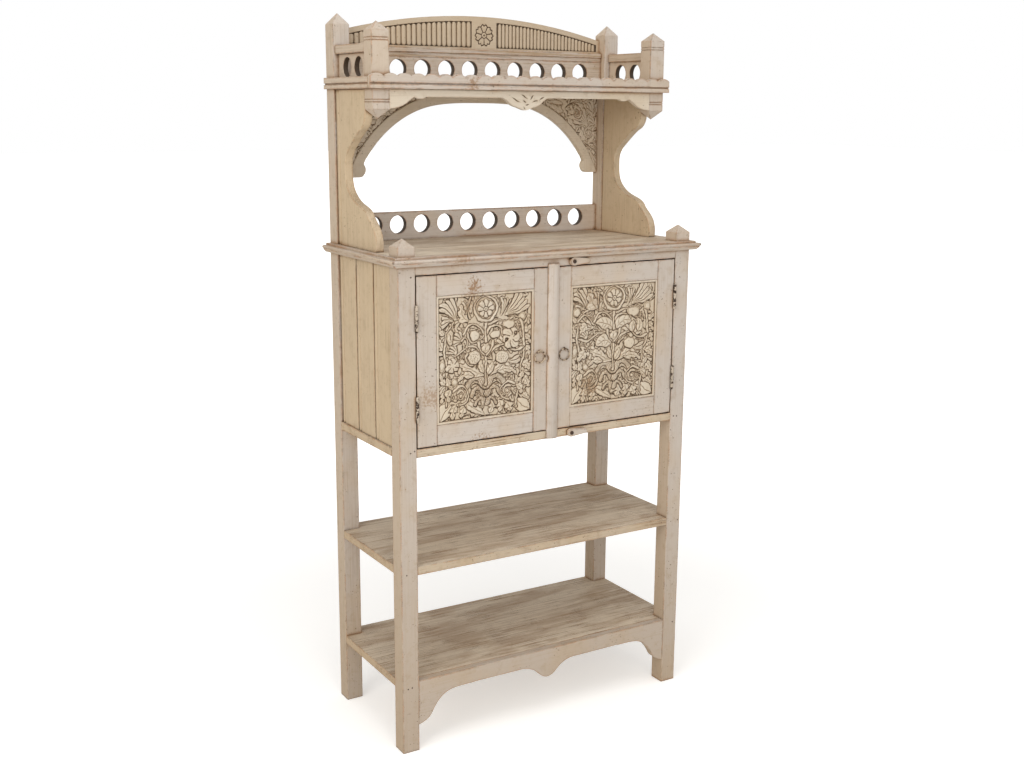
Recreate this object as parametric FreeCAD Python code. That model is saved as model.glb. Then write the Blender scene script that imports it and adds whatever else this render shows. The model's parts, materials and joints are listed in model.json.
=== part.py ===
import FreeCAD, Part
import math
import os

V = FreeCAD.Vector

# A trastero: an open stand with a two-door cupboard, a moulded counter and a set-back top unit.
# Lengths are in millimetres. The origin is on the floor under the middle of the whole piece, +Z is
# up, the doors face -Y and +X is to the right of someone who faces them. The functions work from
# the middle of the four posts, and the last one moves each node back by half the counter's overhang.

# Carcass
width = 800.0
depth = 364.0
post_side = 42.0
board = 19.5
thin_board = 12.0
lower_shelf_top = 175.6
middle_shelf_top = 456.1
cupboard_floor_top = 734.5
counter_top_height = 1166.8
top_rail_height = 21.3
finial_eave_rise = 21.1
finial_peak_rise = 18.4
rear_eave_rise = 45.2
rear_peak_rise = 25.8

# Lower apron, from its deepest foot at the posts to its centre tip
lower_apron_depth = 110.6
lower_apron_foot_shares = [(1.0, 1.0), (0.964, 0.963), (0.941, 0.924), (0.905, 0.81)]
lower_apron_scoop_shares = [(0.905, 0.81), (0.878, 0.656), (0.841, 0.512), (0.796, 0.412),
                            (0.715, 0.353), (0.573, 0.34)]
lower_apron_drop_shares = [(0.235, 0.344), (0.156, 0.376), (0.098, 0.475), (0.059, 0.593),
                           (0.0, 0.672)]

# Cupboard sides and back
panelling_recess = 4.0
panelling_boards = 3
bead_width = 17.0
quirk_width = 2.4
quirk_depth = 2.6
back_boards_count = 6
back_recess = 4.0

# Counter moulding, from its top fillet down
moulding_overhang = 21.0
moulding_height = 21.0
moulding_fillet = 4.8
moulding_fillet_setback = 10.0
moulding_nosing = 7.3
moulding_quirk = 2.7
moulding_quirk_depth = 3.0
moulding_foot_setback = 9.0

# Top unit
top_unit_rise = 355.2
top_unit_depth = 201.0
side_board_inset = 3.0
side_board_foot_reach = 8.0
right_side_board_shift = 17.0
side_bead_width = 20.0
side_board_foot_shares = [(0.993, 0.0), (1.0, 0.035), (0.988, 0.085), (0.957, 0.125), (0.89, 0.165),
                          (0.8, 0.208)]
side_board_waist_shares = [(0.8, 0.208), (0.765, 0.232), (0.69, 0.257), (0.56, 0.279), (0.43, 0.306),
                           (0.336, 0.341), (0.273, 0.38), (0.24, 0.43), (0.232, 0.49), (0.243, 0.56),
                           (0.3, 0.61), (0.398, 0.656), (0.5, 0.7), (0.62, 0.745)]
side_board_top_shares = [(0.62, 0.745), (0.69, 0.765), (0.74, 0.795), (0.765, 0.83)]
side_board_end_share = 0.87
rail_thickness = 16.3
lower_back_rail_height = 67.4
rail_holes = 10
rail_hole_end_margin = 65.5
rail_hole_radius = 22.3
lower_hole_rise = 37.1

arch_rise = 175.8
arch_crown_drop = 26.7
arch_curve_shares = [(0.72, 0.592), (0.6, 0.772), (0.42, 0.93), (0.24, 0.988)]
arch_shoulder_share = (0.838, 0.327)
arch_knob_radius = 18.0
arch_knob_inset = 30.0

small_post_width = 42.0
small_post_depth = 40.0
small_post_base_drop = 43.0
small_post_tip_drop = 21.0
small_post_eave_rise = 105.5
small_post_peak_rise = 20.0
ring_groove_width = 1.6
ring_groove_depth = 1.2
small_post_low_grooves = (15.5, 21.0)
small_post_high_grooves = (15.5, 21.2)

upper_apron_drop = 42.0
upper_apron_edge_drop = 15.7
upper_apron_foot_shares = [(1.0, 1.0), (0.958, 0.938), (0.913, 0.829), (0.879, 0.667), (0.831, 0.379)]
upper_apron_notch_shares = [(0.831, 0.379), (0.814, 0.424), (0.792, 0.474), (0.763, 0.457),
                            (0.746, 0.374)]
leaf_half_width = 61.0
leaf_depth = 27.9
leaf_offset = -4.5
leaf_shares = [(1.0, 0.0), (0.754, 0.344), (0.59, 0.602), (0.361, 0.763), (0.131, 0.943), (0.0, 1.0)]

fascia_overhang = 10.0
fascia_lift = 1.3
fascia_band = 9.3
fascia_groove = 3.4
fascia_groove_depth = 3.0
scallop_count = 24
scallop_valley = 26.2
scallop_rise = 6.8
side_moulding_height = 25.7

gallery_height = 60.0
gallery_rail_step = 4.0
gallery_hole_rise = 32.0
gallery_cap_height = 22.0
gallery_cap_depth = 30.0
gallery_cap_step = 3.0
side_gallery_inset = 10.0
side_gallery_hole_pitch = 61.5
side_gallery_hole_radius = 22.0
side_gallery_hole_rise = 30.0
side_cap_width = 24.0
side_cap_height = 19.5
side_cap_inset = 2.0

# Crest board
crest_rise = 78.5
crest_sag = 47.0
crest_offset = -10.0
crest_panel_margin = 12.0
crest_panel_rise = 4.5
crest_panel_depth = 3.0
crest_panel_end_margin = 8.0
crest_panel_clear = 35.0
crest_centre_offset = 14.0
reed_pitch = 14.3
reed_radius = 6.4
rosette_radius = 27.0
rosette_rise = 34.5
rosette_boss_radius = 6.5

# Doors
door_gap = 2.5
door_thickness = 19.5
stile_width = 50.0
door_rail_width = 47.0
panel_lip = 6.0
panel_rebate = 8.0
panel_base = 10.0
panel_field_setback = 1.0
field_clearance = 0.3
strip_left = 15.0
strip_right = 16.0
strip_projection = 8.0
strip_edge = 3.0
strip_bottom_rise = 0.7
strip_top_lap = 6.9
notch_radius = 14.0
notch_depth = 3.5
notch_drop = 20.25

# Butt hinges
hinge_length = 60.0
hinge_low_share = 0.154
hinge_high_share = 0.318
knuckles = 3
knuckle_gap = 0.3
barrel_radius = 3.75
pin_radius = 1.5
pin_clearance = 0.05
leaf_gap = 0.3
hinge_face_gap = 0.3
hinge_leaf_width = 16.0

# Ring pulls
ring_outer_radius = 15.5
ring_wire_radius = 1.75
left_ring_inset = 34.75
right_ring_inset = 30.75
ring_top_drop = 0.55
eye_wire_radius = 1.0
eye_clearance = 0.35
eye_shank = 12.0

# Turn buttons, turned aside, and their screws
button_head_radius = 10.0
button_tip_radius = 6.0
button_length = 45.0
button_thickness = 9.0
button_gap = 0.3
button_x = 53.0
top_button_rise = 9.4
bottom_button_rise = 8.2
screw_radius = 2.5
screw_clearance = 0.05
screw_head_radius = 4.5
screw_head_height = 2.0
screw_depth = 15.0

# Nail heads
nail_radius = 2.0
nail_projection = 0.6

# Overrun of every cut
overrun = 5.0

# Places that several pieces share
half_width = width / 2
half_depth = depth / 2
post_inner_x = half_width - post_side
post_inner_y = half_depth - post_side
front = -half_depth
counter_underside = counter_top_height - board
cupboard_floor_underside = cupboard_floor_top - board
upper_shelf_underside = counter_top_height + top_unit_rise
upper_shelf_top = upper_shelf_underside + board
side_board_outer = half_width - side_board_inset
side_gallery_outer = side_board_outer - side_gallery_inset
side_cap_outer = side_board_outer - side_cap_inset
fascia_bottom = upper_shelf_underside + fascia_lift
small_post_front = top_unit_depth - post_inner_y
side_board_front = top_unit_depth + side_board_foot_reach
small_post_rear = small_post_depth - small_post_front
small_post_base = upper_shelf_underside - small_post_base_drop
small_post_eave = upper_shelf_top + small_post_eave_rise
gallery_top = upper_shelf_top + gallery_height
gallery_cap_top = gallery_top + gallery_cap_height
rear_eave_height = gallery_cap_top + rear_eave_rise
rail_front = half_depth - rail_thickness
gallery_rail_front = half_depth - gallery_cap_depth + gallery_rail_step
rail_hole_pitch = 2 * (post_inner_x - rail_hole_end_margin) / (rail_holes - 1)
crest_peak = gallery_cap_top + crest_rise
crest_radius = ((post_inner_x - crest_offset) ** 2 + crest_sag ** 2) / (2 * crest_sag)
opening_top = counter_underside - top_rail_height
door_bottom = cupboard_floor_top + door_gap
door_top = opening_top - door_gap
door_middle = (door_bottom + door_top) / 2
door_outer = post_inner_x - door_gap
door_inner = door_gap / 2
door_back = front + door_thickness
strip_bottom = cupboard_floor_underside + strip_bottom_rise
strip_top = opening_top + strip_top_lap
notch_height = door_middle - notch_drop
hinge_x = post_inner_x - door_gap / 2
hinge_y = front - barrel_radius - hinge_face_gap
door_height = door_top - door_bottom
hinge_heights = (door_bottom + hinge_low_share * door_height, door_top - hinge_high_share * door_height)
left_ring_x = -door_inner - left_ring_inset
right_ring_x = door_inner + right_ring_inset
ring_top_height = door_middle - ring_top_drop
top_button_height = opening_top + top_button_rise
bottom_button_height = cupboard_floor_underside + bottom_button_rise


def block(x, y, z):
    """Box between two values on each axis."""
    corner = V(min(x), min(y), min(z))
    return Part.makeBox(abs(x[1] - x[0]), abs(y[1] - y[0]), abs(z[1] - z[0]), corner)


def mirrored(shape):
    """The same shape on the other side of the middle plane."""
    return shape.mirror(V(0, 0, 0), V(1, 0, 0))


def stretch(points):
    """A straight edge through two points, or a smooth one through more."""
    if len(points) == 2:
        return Part.LineSegment(points[0], points[1]).toShape()
    curve = Part.BSplineCurve()
    curve.interpolate(points)
    return curve.toShape()


def extruded(edges, direction):
    """Solid between a closed outline and its copy moved along a direction."""
    return Part.Face(Part.Wire(edges)).extrude(direction)


def polygon(points, direction):
    """Solid prism over a closed polygon."""
    return Part.Face(Part.makePolygon(points + [points[0]])).extrude(direction)


def across(points, y):
    """Outline points (x, z) set on a plane at y."""
    return [V(x, y, z) for x, z in points]


def pyramid(x, y, base, tip):
    """Pyramid over a square of the post, pointing up or down."""
    corners = [V(x[0], y[0], base), V(x[1], y[0], base), V(x[1], y[1], base), V(x[0], y[1], base)]
    peak = V((x[0] + x[1]) / 2, (y[0] + y[1]) / 2, tip)
    faces = [Part.Face(Part.makePolygon(corners + [corners[0]]))]
    for index, corner in enumerate(corners):
        after = corners[(index + 1) % len(corners)]
        faces.append(Part.Face(Part.makePolygon([corner, after, peak, corner])))
    solid = Part.makeSolid(Part.makeShell(faces))
    if solid.Volume < 0:
        solid.reverse()
    return solid


def corner_post_block(side_x, side_y, z):
    """Square block where one of the four posts stands."""
    x = (side_x * post_inner_x, side_x * half_width)
    y = (side_y * post_inner_y, side_y * half_depth)
    return block(x, y, z)


def post(side_x, side_y, eave, peak_rise):
    """Square post from the floor with a pyramid top."""
    x = (side_x * post_inner_x, side_x * half_width)
    y = (side_y * post_inner_y, side_y * half_depth)
    body = block(x, y, (0, eave))
    return body.fuse(pyramid(x, y, eave, eave + peak_rise)).removeSplitter()


def four_post_notches(z):
    """Blocks that notch a board round the four posts."""
    tall = (z[0] - overrun, z[1] + overrun)
    blocks = [corner_post_block(side_x, side_y, tall) for side_x in (-1, 1) for side_y in (-1, 1)]
    return Part.makeCompound(blocks)


def notched_shelf(top, shelf_front):
    """Board out to the posts' faces, notched round them."""
    z = (top - board, top)
    plain = block((-half_width, half_width), (shelf_front, half_depth), z)
    return plain.cut(four_post_notches(z))


def mirrored_outline(half_points):
    """Right half of an outline, from the middle outwards, made whole from left to right."""
    left = [(-x, z) for x, z in reversed(half_points) if x > 0]
    return left + half_points


def lower_apron():
    """Scrolled board under the lower shelf, with a small drop in the middle."""
    def place(shares, side):
        return [V(side * across_share * post_inner_x, front,
                  lower_shelf_top - down_share * lower_apron_depth)
                for across_share, down_share in shares]

    edges = []
    for side in (-1, 1):
        foot = place(lower_apron_foot_shares, side)
        scoop = place(lower_apron_scoop_shares, side)
        drop = place(lower_apron_drop_shares, side)
        top_corner = V(side * post_inner_x, front, lower_shelf_top)
        edges += [stretch([top_corner, foot[0]]), stretch(foot), stretch(scoop)]
        edges += [stretch([scoop[-1], drop[0]]), stretch(drop)]
    edges.append(stretch([V(-post_inner_x, front, lower_shelf_top),
                          V(post_inner_x, front, lower_shelf_top)]))
    return extruded(Part.__sortEdges__(edges), V(0, board, 0))


def beaded_board(outer, thickness, y_front, y_rear, bead, z):
    """Upright board of the left side, with a bead along its rear edge on its outer face."""
    floor = -outer + quirk_depth
    inner = -outer + thickness
    bead_start = V(floor, y_rear - bead, z[0])
    bead_end = V(floor, y_rear, z[0])
    bead_top = V(-outer, y_rear - bead / 2, z[0])
    corners = [bead_end, V(inner, y_rear, z[0]), V(inner, y_front, z[0]), V(-outer, y_front, z[0]),
               V(-outer, y_rear - bead - quirk_width, z[0]), bead_start]
    edges = [stretch([first, second]) for first, second in zip(corners, corners[1:])]
    edges.append(Part.Arc(bead_start, bead_top, bead_end).toShape())
    return extruded(edges, V(0, 0, z[1] - z[0]))


def side_panelling():
    """Three beaded boards between the left posts."""
    pitch = 2 * post_inner_y / panelling_boards
    z = (cupboard_floor_top, counter_underside)
    boards = []
    for index in range(panelling_boards):
        y_front = -post_inner_y + index * pitch
        boards.append(beaded_board(half_width - panelling_recess, thin_board, y_front,
                                   y_front + pitch, bead_width, z))
    return Part.makeCompound(boards)


def back_boards():
    """Upright boards that close the cupboard behind."""
    pitch = 2 * post_inner_x / back_boards_count
    rear = half_depth - back_recess
    boards = []
    for index in range(back_boards_count):
        x = -post_inner_x + index * pitch
        boards.append(block((x, x + pitch), (rear - thin_board, rear),
                            (cupboard_floor_top, counter_underside)))
    return Part.makeCompound(boards)


def top_rail():
    """Rail over the doors, between the front posts."""
    rail = block((-post_inner_x, post_inner_x), (front, front + board),
                 (opening_top, counter_underside))
    return rail.cut(screw_bore(top_button_height))


def cupboard_floor():
    """Floor of the cupboard, with its edge showing under the doors."""
    return notched_shelf(cupboard_floor_top, front).cut(screw_bore(bottom_button_height))


def moulding_section():
    """Points (outward, up) of the counter moulding, from its inner top corner."""
    out = moulding_overhang
    nosing_top = counter_top_height - moulding_fillet
    nosing_low = nosing_top - moulding_nosing
    quirk_low = nosing_low - moulding_quirk
    foot = counter_top_height - moulding_height
    setback = out - moulding_fillet_setback
    quirk = out - moulding_quirk_depth
    upper = [(0, counter_top_height), (setback, counter_top_height), (setback, nosing_top),
             (quirk, nosing_top)]
    nosing = [(quirk, nosing_top), (out, (nosing_top + nosing_low) / 2), (quirk, nosing_low)]
    lower = [(quirk, nosing_low), (quirk, quirk_low), (out - moulding_foot_setback, foot), (0, foot),
             (0, counter_top_height)]
    return upper, nosing, lower


def moulding_strip(place, direction):
    """Counter moulding along one side, before its mitres are cut."""
    upper, nosing, lower = moulding_section()
    edges = []
    for chain in (upper, lower):
        points = [place(out, up) for out, up in chain]
        edges += [stretch([first, second]) for first, second in zip(points, points[1:])]
    edges.append(Part.Arc(*[place(out, up) for out, up in nosing]).toShape())
    return extruded(Part.__sortEdges__(edges), direction)


def counter_moulding_front():
    """Front moulding, mitred at both ends."""
    out_x = half_width + moulding_overhang
    out_y = half_depth + moulding_overhang
    low = counter_top_height - moulding_height
    strip = moulding_strip(lambda out, up: V(-out_x, front - out, up), V(2 * out_x, 0, 0))
    mitres = polygon([V(-half_width, front, low), V(half_width, front, low), V(out_x, -out_y, low),
                      V(-out_x, -out_y, low)], V(0, 0, moulding_height))
    return strip.common(mitres)


def counter_moulding_left():
    """Left moulding, mitred in front and square behind."""
    out_x = half_width + moulding_overhang
    out_y = half_depth + moulding_overhang
    low = counter_top_height - moulding_height
    strip = moulding_strip(lambda out, up: V(-half_width - out, -out_y, up),
                           V(0, out_y + half_depth, 0))
    mitre = polygon([V(-half_width, front, low), V(-half_width, half_depth, low),
                     V(-out_x, half_depth, low), V(-out_x, -out_y, low)], V(0, 0, moulding_height))
    return strip.common(mitre)


def upper_side_board():
    """Left side board of the top unit, with its scrolled front edge and rear bead."""
    rise = upper_shelf_underside - counter_top_height

    def place(shares):
        return [V(-side_board_outer, post_inner_y - forward * side_board_front,
                  counter_top_height + up * rise) for forward, up in shares]

    foot = place(side_board_foot_shares)
    top = place(side_board_top_shares)
    top.append(V(-side_board_outer, small_post_rear,
                 counter_top_height + side_board_end_share * rise))
    top_front = V(-side_board_outer, small_post_rear, upper_shelf_underside)
    top_rear = V(-side_board_outer, post_inner_y, upper_shelf_underside)
    low_rear = V(-side_board_outer, post_inner_y, counter_top_height)
    edges = [stretch(foot), stretch(place(side_board_waist_shares)), stretch(top)]
    edges += [stretch([top[-1], top_front]), stretch([top_front, top_rear]),
              stretch([top_rear, low_rear]), stretch([low_rear, foot[0]])]
    plain = extruded(edges, V(board, 0, 0))
    beaded = beaded_board(side_board_outer, board, post_inner_y - side_board_front - overrun,
                          post_inner_y, side_bead_width,
                          (counter_top_height - overrun, upper_shelf_underside + overrun))
    return plain.common(beaded)


def holes_across(count, pitch, radius, z, y):
    """Row of round holes through a board that faces the front."""
    start = -(count - 1) * pitch / 2
    length = y[1] - y[0] + 2 * overrun
    return Part.makeCompound([Part.makeCylinder(radius, length,
                                                V(start + index * pitch, y[0] - overrun, z),
                                                V(0, 1, 0)) for index in range(count)])


def pierced_rail(front_y, base, height, hole_rise):
    """Board between the rear posts with its row of holes."""
    y = (front_y, front_y + rail_thickness)
    plain = block((-post_inner_x, post_inner_x), y, (base, base + height))
    return plain.cut(holes_across(rail_holes, rail_hole_pitch, rail_hole_radius, base + hole_rise, y))


def arch_board():
    """Board under the upper shelf with an arched lower edge that ends in two round knobs."""
    crown = upper_shelf_underside - arch_crown_drop
    low = crown - arch_rise
    y = rail_front
    knob_x = post_inner_x - arch_knob_inset
    knob_z = low + arch_knob_radius

    def on_knob(side, degrees):
        angle = math.radians(degrees)
        return V(side * (knob_x + arch_knob_radius * math.cos(angle)), y,
                 knob_z + arch_knob_radius * math.sin(angle))

    half = [(0.0, 1.0)] + list(reversed(arch_curve_shares)) + [arch_shoulder_share]
    middle = across([(x * post_inner_x, low + up * arch_rise)
                     for x, up in mirrored_outline(half)], y)
    curve = [on_knob(-1, 130)] + middle + [on_knob(1, 130)]
    edges = [stretch(curve)]
    for side in (-1, 1):
        post_low = V(side * post_inner_x, y, low)
        post_top = V(side * post_inner_x, y, upper_shelf_underside)
        edges.append(Part.Arc(on_knob(side, 130), on_knob(side, 200), on_knob(side, 270)).toShape())
        edges += [stretch([on_knob(side, 270), post_low]), stretch([post_low, post_top])]
    edges.append(stretch([V(-post_inner_x, y, upper_shelf_underside),
                          V(post_inner_x, y, upper_shelf_underside)]))
    return extruded(Part.__sortEdges__(edges), V(0, thin_board, 0))


def small_post_x():
    """Inner and outer face of the left small post."""
    return (-side_board_outer, small_post_width - side_board_outer)


def small_post():
    """Left front post of the top unit, pointed at both ends, with cut rings."""
    x = small_post_x()
    y = (-small_post_front, small_post_rear)
    solid = block(x, y, (small_post_base, small_post_eave))
    solid = solid.fuse(pyramid(x, y, small_post_eave, small_post_eave + small_post_peak_rise))
    solid = solid.fuse(pyramid(x, y, small_post_base, small_post_base - small_post_tip_drop))
    heights = [small_post_base + rise for rise in small_post_low_grooves]
    heights += [small_post_eave - drop for drop in small_post_high_grooves]
    for height in heights:
        z = (height - ring_groove_width / 2, height + ring_groove_width / 2)
        around = block((x[0] - overrun, x[1] + overrun), (y[0] - overrun, y[1] + overrun), z)
        core = block((x[0] + ring_groove_depth, x[1] - ring_groove_depth),
                     (y[0] + ring_groove_depth, y[1] - ring_groove_depth), z)
        solid = solid.cut(around.cut(core))
    return solid.removeSplitter()


def upper_shelf():
    """Shelf over the top unit, notched round the small posts and the rear posts."""
    z = (upper_shelf_underside, upper_shelf_top)
    tall = (z[0] - overrun, z[1] + overrun)
    plain = block((-side_board_outer, side_board_outer), (-small_post_front, half_depth), z)
    small = block(small_post_x(), (-small_post_front, small_post_rear), tall)
    notches = [small, mirrored(small), corner_post_block(-1, 1, tall), corner_post_block(1, 1, tall)]
    return plain.cut(Part.makeCompound(notches))


def upper_apron():
    """Board under the upper shelf with scrolled ends and a leaf in the middle."""
    y = -small_post_front
    reach = side_board_outer - small_post_width
    edge_z = upper_shelf_underside - upper_apron_edge_drop

    def place(shares, side):
        return [V(side * out * reach, y, upper_shelf_underside - down * upper_apron_drop)
                for out, down in shares]

    edges = []
    for side in (-1, 1):
        foot = place(upper_apron_foot_shares, side)
        notch = place(upper_apron_notch_shares, side)
        leaf = [V(leaf_offset + side * out * leaf_half_width, y, edge_z - down * leaf_depth)
                for out, down in leaf_shares]
        top_corner = V(side * reach, y, upper_shelf_underside)
        edges += [stretch([top_corner, foot[0]]), stretch(foot), stretch(notch)]
        edges += [stretch([notch[-1], leaf[0]]), stretch(leaf)]
    edges.append(stretch([V(-reach, y, upper_shelf_underside), V(reach, y, upper_shelf_underside)]))
    return extruded(Part.__sortEdges__(edges), V(0, thin_board, 0))


def scalloped_fascia():
    """Two-band moulding along the front of the upper shelf with a scalloped top edge."""
    reach = side_board_outer + fascia_overhang
    y = -small_post_front - thin_board
    valley = fascia_bottom + scallop_valley
    pitch = 2 * reach / scallop_count
    edges = []
    for index in range(scallop_count):
        start = index * pitch - reach
        edges.append(Part.Arc(V(start, y, valley), V(start + pitch / 2, y, valley + scallop_rise),
                              V(start + pitch, y, valley)).toShape())
    edges += [stretch([V(reach, y, valley), V(reach, y, fascia_bottom)]),
              stretch([V(reach, y, fascia_bottom), V(-reach, y, fascia_bottom)]),
              stretch([V(-reach, y, fascia_bottom), V(-reach, y, valley)])]
    plain = extruded(Part.__sortEdges__(edges), V(0, thin_board, 0))
    groove_z = fascia_bottom + fascia_band
    groove = block((-reach - overrun, reach + overrun), (y - overrun, y + fascia_groove_depth),
                   (groove_z, groove_z + fascia_groove))
    return plain.cut(groove)


def shelf_moulding_left():
    """Two-band moulding along the left end of the upper shelf, cut back at the rear post."""
    outer = side_board_outer + fascia_overhang
    plain = block((-outer, -side_board_outer), (-small_post_front, half_depth),
                  (fascia_bottom, fascia_bottom + side_moulding_height))
    groove_z = fascia_bottom + fascia_band
    groove = block((-outer - overrun, fascia_groove_depth - outer),
                   (-small_post_front - overrun, half_depth + overrun),
                   (groove_z, groove_z + fascia_groove))
    tall = (fascia_bottom - overrun, fascia_bottom + side_moulding_height + overrun)
    return plain.cut(groove).cut(corner_post_block(-1, 1, tall))


def gallery_cap_rear():
    """Stepped ledge over the rear gallery rail."""
    x = (-post_inner_x, post_inner_x)
    ledge_front = half_depth - gallery_cap_depth
    middle = (gallery_top + gallery_cap_top) / 2
    upper = block(x, (ledge_front, half_depth), (middle, gallery_cap_top))
    lower = block(x, (ledge_front + gallery_cap_step, half_depth), (gallery_top, middle))
    return upper.fuse(lower).removeSplitter()


def crest_height(x, drop):
    """Height of the crest's arc, or of a line a fixed drop inside it, at x."""
    reach = crest_radius - drop
    return crest_peak - crest_radius + math.sqrt(reach ** 2 - (x - crest_offset) ** 2)


def under_crest(x, base, drop, y, thickness):
    """Solid between a level line and the crest's arc, or a line inside it."""
    middle = (x[0] + x[1]) / 2
    top = [V(place, y, crest_height(place, drop)) for place in (x[0], middle, x[1])]
    low = [V(x[1], y, base), V(x[0], y, base)]
    edges = [Part.Arc(top[0], top[1], top[2]).toShape(), stretch([top[2], low[0]]),
             stretch([low[0], low[1]]), stretch([low[1], top[0]])]
    return extruded(edges, V(0, thickness, 0))


def crest_panel(x):
    """Sunk field of the crest with its upright reeds, as a pair of cut and fill."""
    base = gallery_cap_top + crest_panel_rise
    thickness = crest_panel_depth + overrun
    pocket = under_crest(x, base, crest_panel_margin, rail_front - overrun, thickness)
    count = int((x[1] - x[0]) / reed_pitch)
    first = (x[0] + x[1]) / 2 - (count - 1) * reed_pitch / 2
    reeds = []
    for index in range(count):
        place = first + index * reed_pitch
        top = min(crest_height(place - reed_radius, crest_panel_margin),
                  crest_height(place + reed_radius, crest_panel_margin))
        reeds.append(Part.makeCylinder(reed_radius, top - base,
                                       V(place, rail_front + reed_radius, base)))
    return pocket, reeds


def crest_board():
    """Arched board on the gallery, with reeded fields either side of a rosette."""
    x = (-post_inner_x, post_inner_x)
    plain = under_crest(x, gallery_cap_top, 0, rail_front, rail_thickness)
    left = (-post_inner_x + crest_panel_end_margin, crest_centre_offset - crest_panel_clear)
    right = (crest_centre_offset + crest_panel_clear, post_inner_x - crest_panel_end_margin)
    reeds = []
    for field in (left, right):
        pocket, made = crest_panel(field)
        plain = plain.cut(pocket)
        reeds += made
    centre = V(crest_centre_offset, rail_front - overrun, gallery_cap_top + rosette_rise)
    dish = Part.makeCylinder(rosette_radius, overrun + crest_panel_depth, centre, V(0, 1, 0))
    boss = Part.makeCylinder(rosette_boss_radius, rail_thickness,
                             V(centre.x, rail_front, centre.z), V(0, 1, 0))
    return plain.cut(dish).multiFuse(reeds + [boss]).removeSplitter()


def side_gallery():
    """Left end of the gallery, with two round holes."""
    x = (-side_gallery_outer, thin_board - side_gallery_outer)
    y = (small_post_rear, post_inner_y)
    plain = block(x, y, (upper_shelf_top, gallery_top))
    middle = (y[0] + y[1]) / 2
    holes = [Part.makeCylinder(side_gallery_hole_radius, thin_board + 2 * overrun,
                               V(x[0] - overrun, middle + side * side_gallery_hole_pitch / 2,
                                 upper_shelf_top + side_gallery_hole_rise), V(1, 0, 0))
             for side in (-1, 1)]
    return plain.cut(Part.makeCompound(holes))


def side_cap():
    """Cap over the left end of the gallery."""
    return block((-side_cap_outer, side_cap_width - side_cap_outer), (small_post_rear, post_inner_y),
                 (gallery_top, gallery_top + side_cap_height))


def panel_opening():
    """Inner edges of a door's frame: x and z of the right door."""
    x = (door_inner + stile_width, door_outer - stile_width)
    z = (door_bottom + door_rail_width, door_top - door_rail_width)
    return x, z


def panel_rebate_block():
    """Room behind the lip of the right door's frame for its panel."""
    x, z = panel_opening()
    return block((x[0] - panel_rebate, x[1] + panel_rebate),
                 (front + panel_lip, door_back + overrun),
                 (z[0] - panel_rebate, z[1] + panel_rebate))


def door_stile(x):
    """Upright of the right door's frame, rebated for the panel."""
    return block(x, (front, door_back), (door_bottom, door_top)).cut(panel_rebate_block())


def door_rail(z):
    """Level piece of the right door's frame, rebated for the panel."""
    x, _ = panel_opening()
    return block(x, (front, door_back), z).cut(panel_rebate_block())


def door_panel():
    """Panel of the right door: a board behind the lip and a raised field inside the frame."""
    x, z = panel_opening()
    lip = front + panel_lip
    base = block((x[0] - panel_rebate, x[1] + panel_rebate), (lip, lip + panel_base),
                 (z[0] - panel_rebate, z[1] + panel_rebate))
    gap = field_clearance
    field = block((x[0] + gap, x[1] - gap), (front + panel_field_setback, lip), (z[0] + gap, z[1] - gap))
    return base.fuse(field).removeSplitter()


def door_frame_pieces():
    """Frame and panel of the right door, by the end of each node's name."""
    _, z = panel_opening()
    inner = (door_inner, door_inner + stile_width)
    outer = (door_outer - stile_width, door_outer)
    return {"hinge_stile": door_stile(outer), "meeting_stile": door_stile(inner),
            "top_rail": door_rail((z[1], door_top)), "bottom_rail": door_rail((door_bottom, z[0])),
            "carved_panel": door_panel()}


def meeting_strip():
    """Rounded strip on the right door that covers the left door's edge, with a finger notch."""
    middle = (strip_right - strip_left) / 2
    left = V(-strip_left, front, strip_bottom)
    right = V(strip_right, front, strip_bottom)
    left_edge = V(-strip_left, front - strip_edge, strip_bottom)
    right_edge = V(strip_right, front - strip_edge, strip_bottom)
    crown = V(middle, front - strip_projection, strip_bottom)
    edges = [stretch([right, left]), stretch([left, left_edge]),
             Part.Arc(left_edge, crown, right_edge).toShape(), stretch([right_edge, right])]
    strip = extruded(edges, V(0, 0, strip_top - strip_bottom))
    notch = Part.makeCylinder(notch_radius, strip_projection + 2 * overrun,
                              V(notch_depth - strip_left - notch_radius,
                                front - strip_projection - overrun, notch_height), V(0, 1, 0))
    return strip.cut(notch)


def hinge_leaf_thickness():
    """Thickness that lets both leaves lie in the gap beside a door."""
    return (door_gap - leaf_gap) / 2


def hinge_leaf(bottom, on_frame):
    """Leaf of a right-hand hinge with its knuckles, for the frame or for the door."""
    thickness = hinge_leaf_thickness()
    pitch = hinge_length / knuckles
    plate_x = (post_inner_x - thickness, post_inner_x) if on_frame else (door_outer,
                                                                        door_outer + thickness)
    plate_front = hinge_y + barrel_radius + knuckle_gap
    leaf = block(plate_x, (plate_front, front + hinge_leaf_width), (bottom, bottom + hinge_length))
    bore_radius = pin_radius + pin_clearance
    for index in range(knuckles):
        on_this_leaf = (index % 2 == 0) == on_frame
        if not on_this_leaf:
            continue
        low = bottom + index * pitch + (knuckle_gap / 2 if index else 0)
        high = bottom + (index + 1) * pitch - (knuckle_gap / 2 if index < knuckles - 1 else 0)
        knuckle = Part.makeCylinder(barrel_radius, high - low, V(hinge_x, hinge_y, low))
        web = block(plate_x, (hinge_y, plate_front), (low, high))
        leaf = leaf.fuse(knuckle).fuse(web)
    bore = Part.makeCylinder(bore_radius, hinge_length + 2 * overrun,
                             V(hinge_x, hinge_y, bottom - overrun))
    return leaf.cut(bore).removeSplitter()


def hinge_pin(bottom):
    """Pin of a right-hand hinge."""
    return Part.makeCylinder(pin_radius, hinge_length, V(hinge_x, hinge_y, bottom))


def ring_pull(x):
    """Ring that hangs in its eye."""
    radius = ring_outer_radius - ring_wire_radius
    return Part.makeTorus(radius, ring_wire_radius, V(x, eye_y(), ring_top_height - radius),
                          V(0, 1, 0))


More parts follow.
